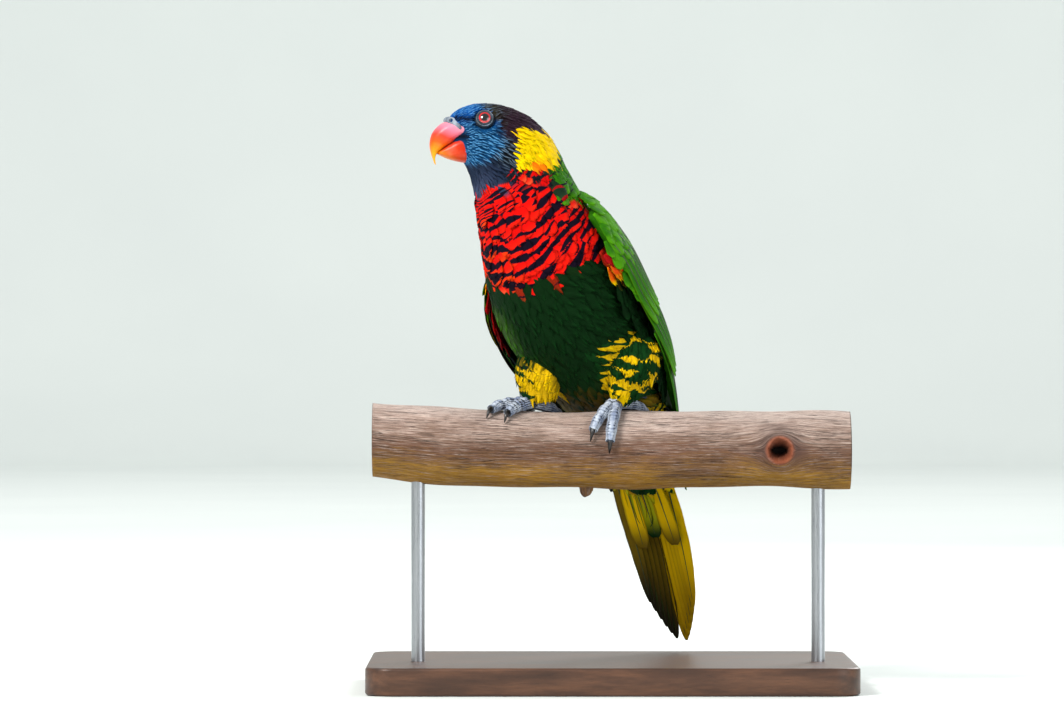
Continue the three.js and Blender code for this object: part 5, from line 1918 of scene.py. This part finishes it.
# %% The branch's grid and ends
near_knot = np.linspace(KNOT_X - 9, KNOT_X + 9, 62)
beyond_knot = np.linspace(KNOT_X + 9, BRANCH_TO, 34)
branch_x = np.unique(np.concatenate([np.linspace(BRANCH_FROM, KNOT_X - 9, 250), near_knot, beyond_knot]))
fine, coarse = np.linspace(60, 120, 70, endpoint=False), np.linspace(120, 420, 130, endpoint=False)
branch_turn = np.radians(np.concatenate([fine, coarse]))
bx, bt = grid(branch_x, branch_turn)
dx, dy = bx - KNOT_X, BRANCH_RADIUS * (np.mod(bt, 2 * np.pi) - np.pi / 2)
from_knot = np.hypot(dx, dy)
stream = dy * (1 - 36.0 / np.maximum(from_knot, 6.2) ** 2)
ridges = ripple(stream * 2.2 + 0.25 * ripple(bx * 0.12, 3),
                5) * 0.5 + ripple(stream * 0.9 + bx * 0.02, 8) * 0.5
sunk = -0.22 + 0.13 * ridges
hole = KNOT_DEPTH * smooth(from_knot + 0.5 * ripple(np.arctan2(dy, dx) * 2, 4), BRANCH_FROM_KNOT, 2.6)
perch_grid = beside_branch(bx, bt, np.minimum(sunk, 0) - hole)
ends = []
END_RINGS = np.linspace(0.06, 0.995, 26)
for n, way in ((0, 1), (-1, -1)):
    middle = perch_grid[n].mean(0)
    ends.append([middle + (perch_grid[n] - middle) * share + [way * (0.35 + 0.1 * np.sin(share * 70)), 0, 0]
                 for share in END_RINGS])
points, faces = loft(np.concatenate([ends[0], perch_grid, ends[1][::-1]]))
lead = len(END_RINGS)


def over_ends(values):
    return np.concatenate([np.repeat(values[:1], lead, 0), values, np.repeat(values[-1:], lead, 0)]).ravel()


grain = np.stack([over_ends(bx), over_ends(stream), over_ends(from_knot)], -1)
marks = np.stack([0 * over_ends(bx), over_ends(np.cos(bt)), over_ends(0 * bx)], -1)
marks[: lead * bx.shape[1], 2] = 1
marks[-lead * bx.shape[1] :, 2] = 1
grain, marks = (np.concatenate([v, v[:1], v[-1:]]) for v in (grain, marks))


print("branch rings", len(branch_x), "of", len(branch_turn), "points")

# %% Weathered wood
def weathered_wood():
    """Pinkish grey on top, brown on the side and ochre below, with fine grain; the golden bottom is partly
    painted light.
    """
    f = Finish("weathered_wood", roughness=0.78, specular_ior_level=0.25)
    x, stream_value, knot = f.read("grain").parts()
    _, high, end = f.read("marks").parts()
    lines = f.noise(f.joined(x * 0.07, stream_value * 2.4, 0.0), 1.0, 6.0, 0.75)
    threads = f.noise(f.joined(x * 0.16, stream_value * 7.0, 3.0), 1.0, 4.0, 0.7)
    patches = f.noise(f.joined(x * 0.035, stream_value * 0.13, 7.0), 1.0, 4.0, 0.6)
    veins = f.noise(f.joined(x * 0.02, stream_value * 0.8, 11.0), 1.0, 4.0, 0.6)
    crack = (1 - (veins - 0.5).size().step(0.003, 0.018)) * (lines * 0.6 + patches * 0.4).step(0.4, 0.56)
    # The tone runs by how far the surface faces up: the golden stops at the bottom are partly the wood's
    # ochre and partly painted light thrown up from beneath.
    level = high * 0.5 + 0.5 + (patches - 0.5) * 0.7 + (lines - 0.5) * 0.8
    tone = f.ramp(level, [(0.0, "#a87826"), (0.12, "#b0822e"), (0.26, "#866034"), (0.46, "#705040"),
                          (0.62, "#8e7466"), (0.8, "#bea69a"), (1.0, "#d2beb4")])
    tone = f.blend(threads.step(0.46, 0.6) * 0.7, tone, "#4c3428")
    tone = f.blend(lines.step(0.53, 0.64) * 0.45, tone, "#dac6b8")
    tone = f.blend(crack * 0.85, tone, "#2a1b14")
    # A darker patch round the knot, on all but its underside.
    knot_darkening = (knot / 16.0 + (patches - 0.5) * 1.2).step(1.0, 0.45) * (high + 0.3).step(-0.3, 0.2)
    tone = f.blend(knot_darkening * 0.6, tone, "#4a3430")
    tone = f.blend((1 - knot.step(5.0, 7.2)) * 0.75, tone, "#8e4a2e")
    # Painted shade: near black deep in the knot's hole.
    tone = f.blend(1 - knot.step(2.6, 5.2), tone, "#120a07")
    sawn = f.place((0.0, 1.0, 1.0), BRANCH_MIDDLE * MM).vector("LENGTH", (0, 0, 0), "Value")
    rings = (sawn * 5200.0 + f.noise(f.place(), 90.0, 3.0) * 5.0).wave()
    cut = f.blend(rings.step(-0.6, 1.0), "#9c7a4e", "#c9a877")
    f.set("Base Color", f.blend(end, tone, cut))
    f.bump(lines - threads * 0.8 - crack * 0.7, 0.0003)
    return f.material


WOOD = weathered_wood()
attach(piece_of("perch_branch", points, faces, WOOD, grain=grain, marks=marks), "perch", "perch")
# %% The stub of a twig
STUB = [[-6, -1, -14, 3.4], [-6, -1, -17.4, 3.0], [-6, -1, -18.4, 2.7], [-5.7, -1, -19.6, 2.1],
        [-5.4, -1, -20.3, 1.3]]
stub_rings = limb(between(STUB, np.linspace(0, 4, 30)) + [*BRANCH_MIDDLE, 0], 40)
wobble = 1 + 0.03 * np.sin(7 * circle(40)) * np.linspace(0, 1, 30)[:, None]
stub_middles = stub_rings.mean(1, keepdims=True)
points, faces = loft(stub_middles + (stub_rings - stub_middles) * wobble[..., None])
d = points - BRANCH_MIDDLE
grain = np.stack([d[:, 2] * 2, np.arctan2(d[:, 1], d[:, 0] + 6) * 5, 30 + 0 * d[:, 0]], -1)
marks = np.tile((0, -0.3, 0), (len(d), 1))
attach(piece_of("perch_stub", points, faces, WOOD, grain=grain, marks=marks), "perch")

# %% [markdown]
# The display stand is plain: a board of dark wood with softened edges and two brushed steel rods up into
# the branch. They are lofted from the same sizes as the frame's own stand, so they stay inside it and only
# become smoother.

# %% Stand
base_low, base_high = (np.array(corner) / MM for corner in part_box("stand_base"))


def board_ring(inset, height, radius=12.0, steps=16):
    (x0, y0, _), (x1, y1, _) = base_low + inset, base_high - inset
    r = radius - inset
    ring = []
    for cx, cy, start in ((x1 - r, y0 + r, -90), (x1 - r, y1 - r, 0), (x0 + r, y1 - r, 90),
                          (x0 + r, y0 + r, 180)):
        for angle in np.radians(np.linspace(start, start + 90, steps)):
            ring.append((cx + r * math.cos(angle), cy + r * math.sin(angle), height))
    return ring


top = base_high[2]
EDGE = 1.2
curve = [(EDGE - EDGE * math.sin(a), top - EDGE + EDGE * math.cos(a)) for a in np.linspace(math.pi / 2, 0, 7)]
profile = [(11.5, 0.0), (6.0, 0.0), (1.0, 0.0), (0.35, 0.3), (0.0, 1.0), *curve, (4.0, top), (8.0, top),
           (11.5, top)]
rings = [board_ring(inset, height) for inset, height in profile]


print("board rings:", len(rings))

# %% Dark wood and brushed steel
def dark_board():
    f = Finish("dark_board", roughness=0.42, coat_weight=0.15, coat_roughness=0.3, specular_ior_level=0.4)
    here = f.place((1.0, 9.0, 9.0))
    wander = f.noise(f.place((1.0, 2.0, 2.0)), 6.0, 2.0)
    figure = f.noise(here.vector("ADD", f.joined(0.0, wander * 0.12, 0.0)), 22.0, 6.0, 0.62)
    pores = f.noise(f.place((1.0, 16.0, 16.0)), 260.0, 2.0)
    tone = f.ramp(figure, [(0.25, "#2a1a12"), (0.5, "#4a2f20"), (0.75, "#6a4630")])
    f.set("Base Color", f.blend(pores.step(0.6, 0.75) * 0.6, tone, "#1a100b"))
    f.set("Roughness", figure * 0.15 + 0.36)
    f.bump(pores * 0.5 + figure * 0.3, 0.00008)
    return f.material


def brushed_steel():
    f = Finish("brushed_steel", metallic=1.0, specular_ior_level=0.5)
    hairs = f.noise(f.place((1.0, 1.0, 0.03)), 2600.0, 2.0)
    f.set("Base Color", f.blend(hairs, "#8d9096", "#c3c6ca"))
    f.set("Roughness", hairs * 0.16 + 0.22)
    f.bump(hairs, 0.00001)
    return f.material


attach(piece_of("stand_board", *loft(rings), dark_board()), "stand_base", "stand_base")
STEEL = brushed_steel()
for name in ("left", "right"):
    low, high = (np.array(corner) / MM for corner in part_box(f"stand_rod_{name}"))
    x, y = ((low + high) / 2)[:2]
    radius = (high[0] - low[0]) / 2
    heights = [low[2], low[2] + 0.01, *np.linspace(low[2] + 0.3, high[2] - 0.3, 40), high[2] - 0.01, high[2]]
    path = [(x, y, h, radius * (0.86 if n in (0, 43) else 1)) for n, h in enumerate(heights)]
    attach(piece_of(f"stand_rod_{name}_steel", *loft(limb(path, 64)), STEEL), "stand_rod",
           f"stand_rod_{name}")

# %% [markdown]
# The studio is plain: a pale sweep that is floor and backdrop in one, a soft key light from the upper left
# as in the photograph, a broad fill, one light from behind and one on the wall. The camera looks level, as
# the photograph does.

# %% Camera, lights and the plain studio
scene = bpy.context.scene
camera = bpy.data.objects.new("camera", bpy.data.cameras.new("camera"))
camera.location = (-0.0349, -2.615, 0.1472)
camera.rotation_euler = (math.pi / 2, 0, 0)
camera.data.lens = 199.9
camera.data.sensor_width = 36.0
camera.data.clip_end = 20.0
show(camera)
scene.camera = camera


def light(name, place, aim, size, power, colour=(1, 1, 1)):
    lamp = bpy.data.lights.new(name, "AREA")
    lamp.shape, lamp.size, lamp.energy, lamp.color = "DISK", size, power, colour
    made = bpy.data.objects.new(name, lamp)
    made.location = place
    made.rotation_euler = (mathutils.Vector(aim)
                           - mathutils.Vector(place)).to_track_quat("-Z", "Y").to_euler()
    show(made)


cove = [(5.2 + 0.8 * math.sin(a), 0.8 - 0.8 * math.cos(a)) for a in np.linspace(0, math.pi / 2, 25)]
sweep = [(-5.0, 0.0), (5.2, 0.0), *cove, (6.0, 4.0)]
floor_points = [(x, y, z - 0.0002) for y, z in sweep for x in (-5.0, 5.0)]
floor_faces = [(2 * i, 2 * i + 1, 2 * i + 3, 2 * i + 2) for i in range(len(sweep) - 1)]
paper = Finish("pale_paper", roughness=0.9, specular_ior_level=0.1)
tint = paper.noise(paper.place(), 3.0, 2.0)
paper.set("Base Color", paper.blend(tint, "#dfe4e2", "#e6ebe8"))
floor = bpy.data.objects.new("floor", mesh_of("floor", floor_points, floor_faces))
floor.data.materials.append(paper.material)
show(floor)
floor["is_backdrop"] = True

BIRD = (-0.02, 0.0, 0.16)
light("key", (-0.9, -1.1, 1.15), BIRD, 0.55, 34.0, (1.0, 0.98, 0.95))
light("fill", (1.3, -1.3, 0.5), BIRD, 1.4, 12.0, (0.93, 0.97, 1.0))
light("rim", (0.7, 1.2, 0.9), BIRD, 0.8, 18.0)
light("wall", (0.0, 2.4, 3.0), (0.0, 5.4, -0.1), 4.0, 90.0)
scene.world = bpy.data.worlds.new("studio")
scene.world.use_nodes = True
sky = scene.world.node_tree.nodes["Background"].inputs
sky["Color"].default_value = (0.93, 0.96, 0.95, 1)
sky["Strength"].default_value = 0.55
scene.view_settings.view_transform = "Standard"

# %% [markdown] The single leaves have done their work and go.

for made in LEAVES.values():
    for leaf in list(made.objects):
        bpy.data.objects.remove(leaf)
    bpy.data.collections.remove(made)

size = {"cad": cad_box, "visual": [list(corner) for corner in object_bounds()]}
print(size)
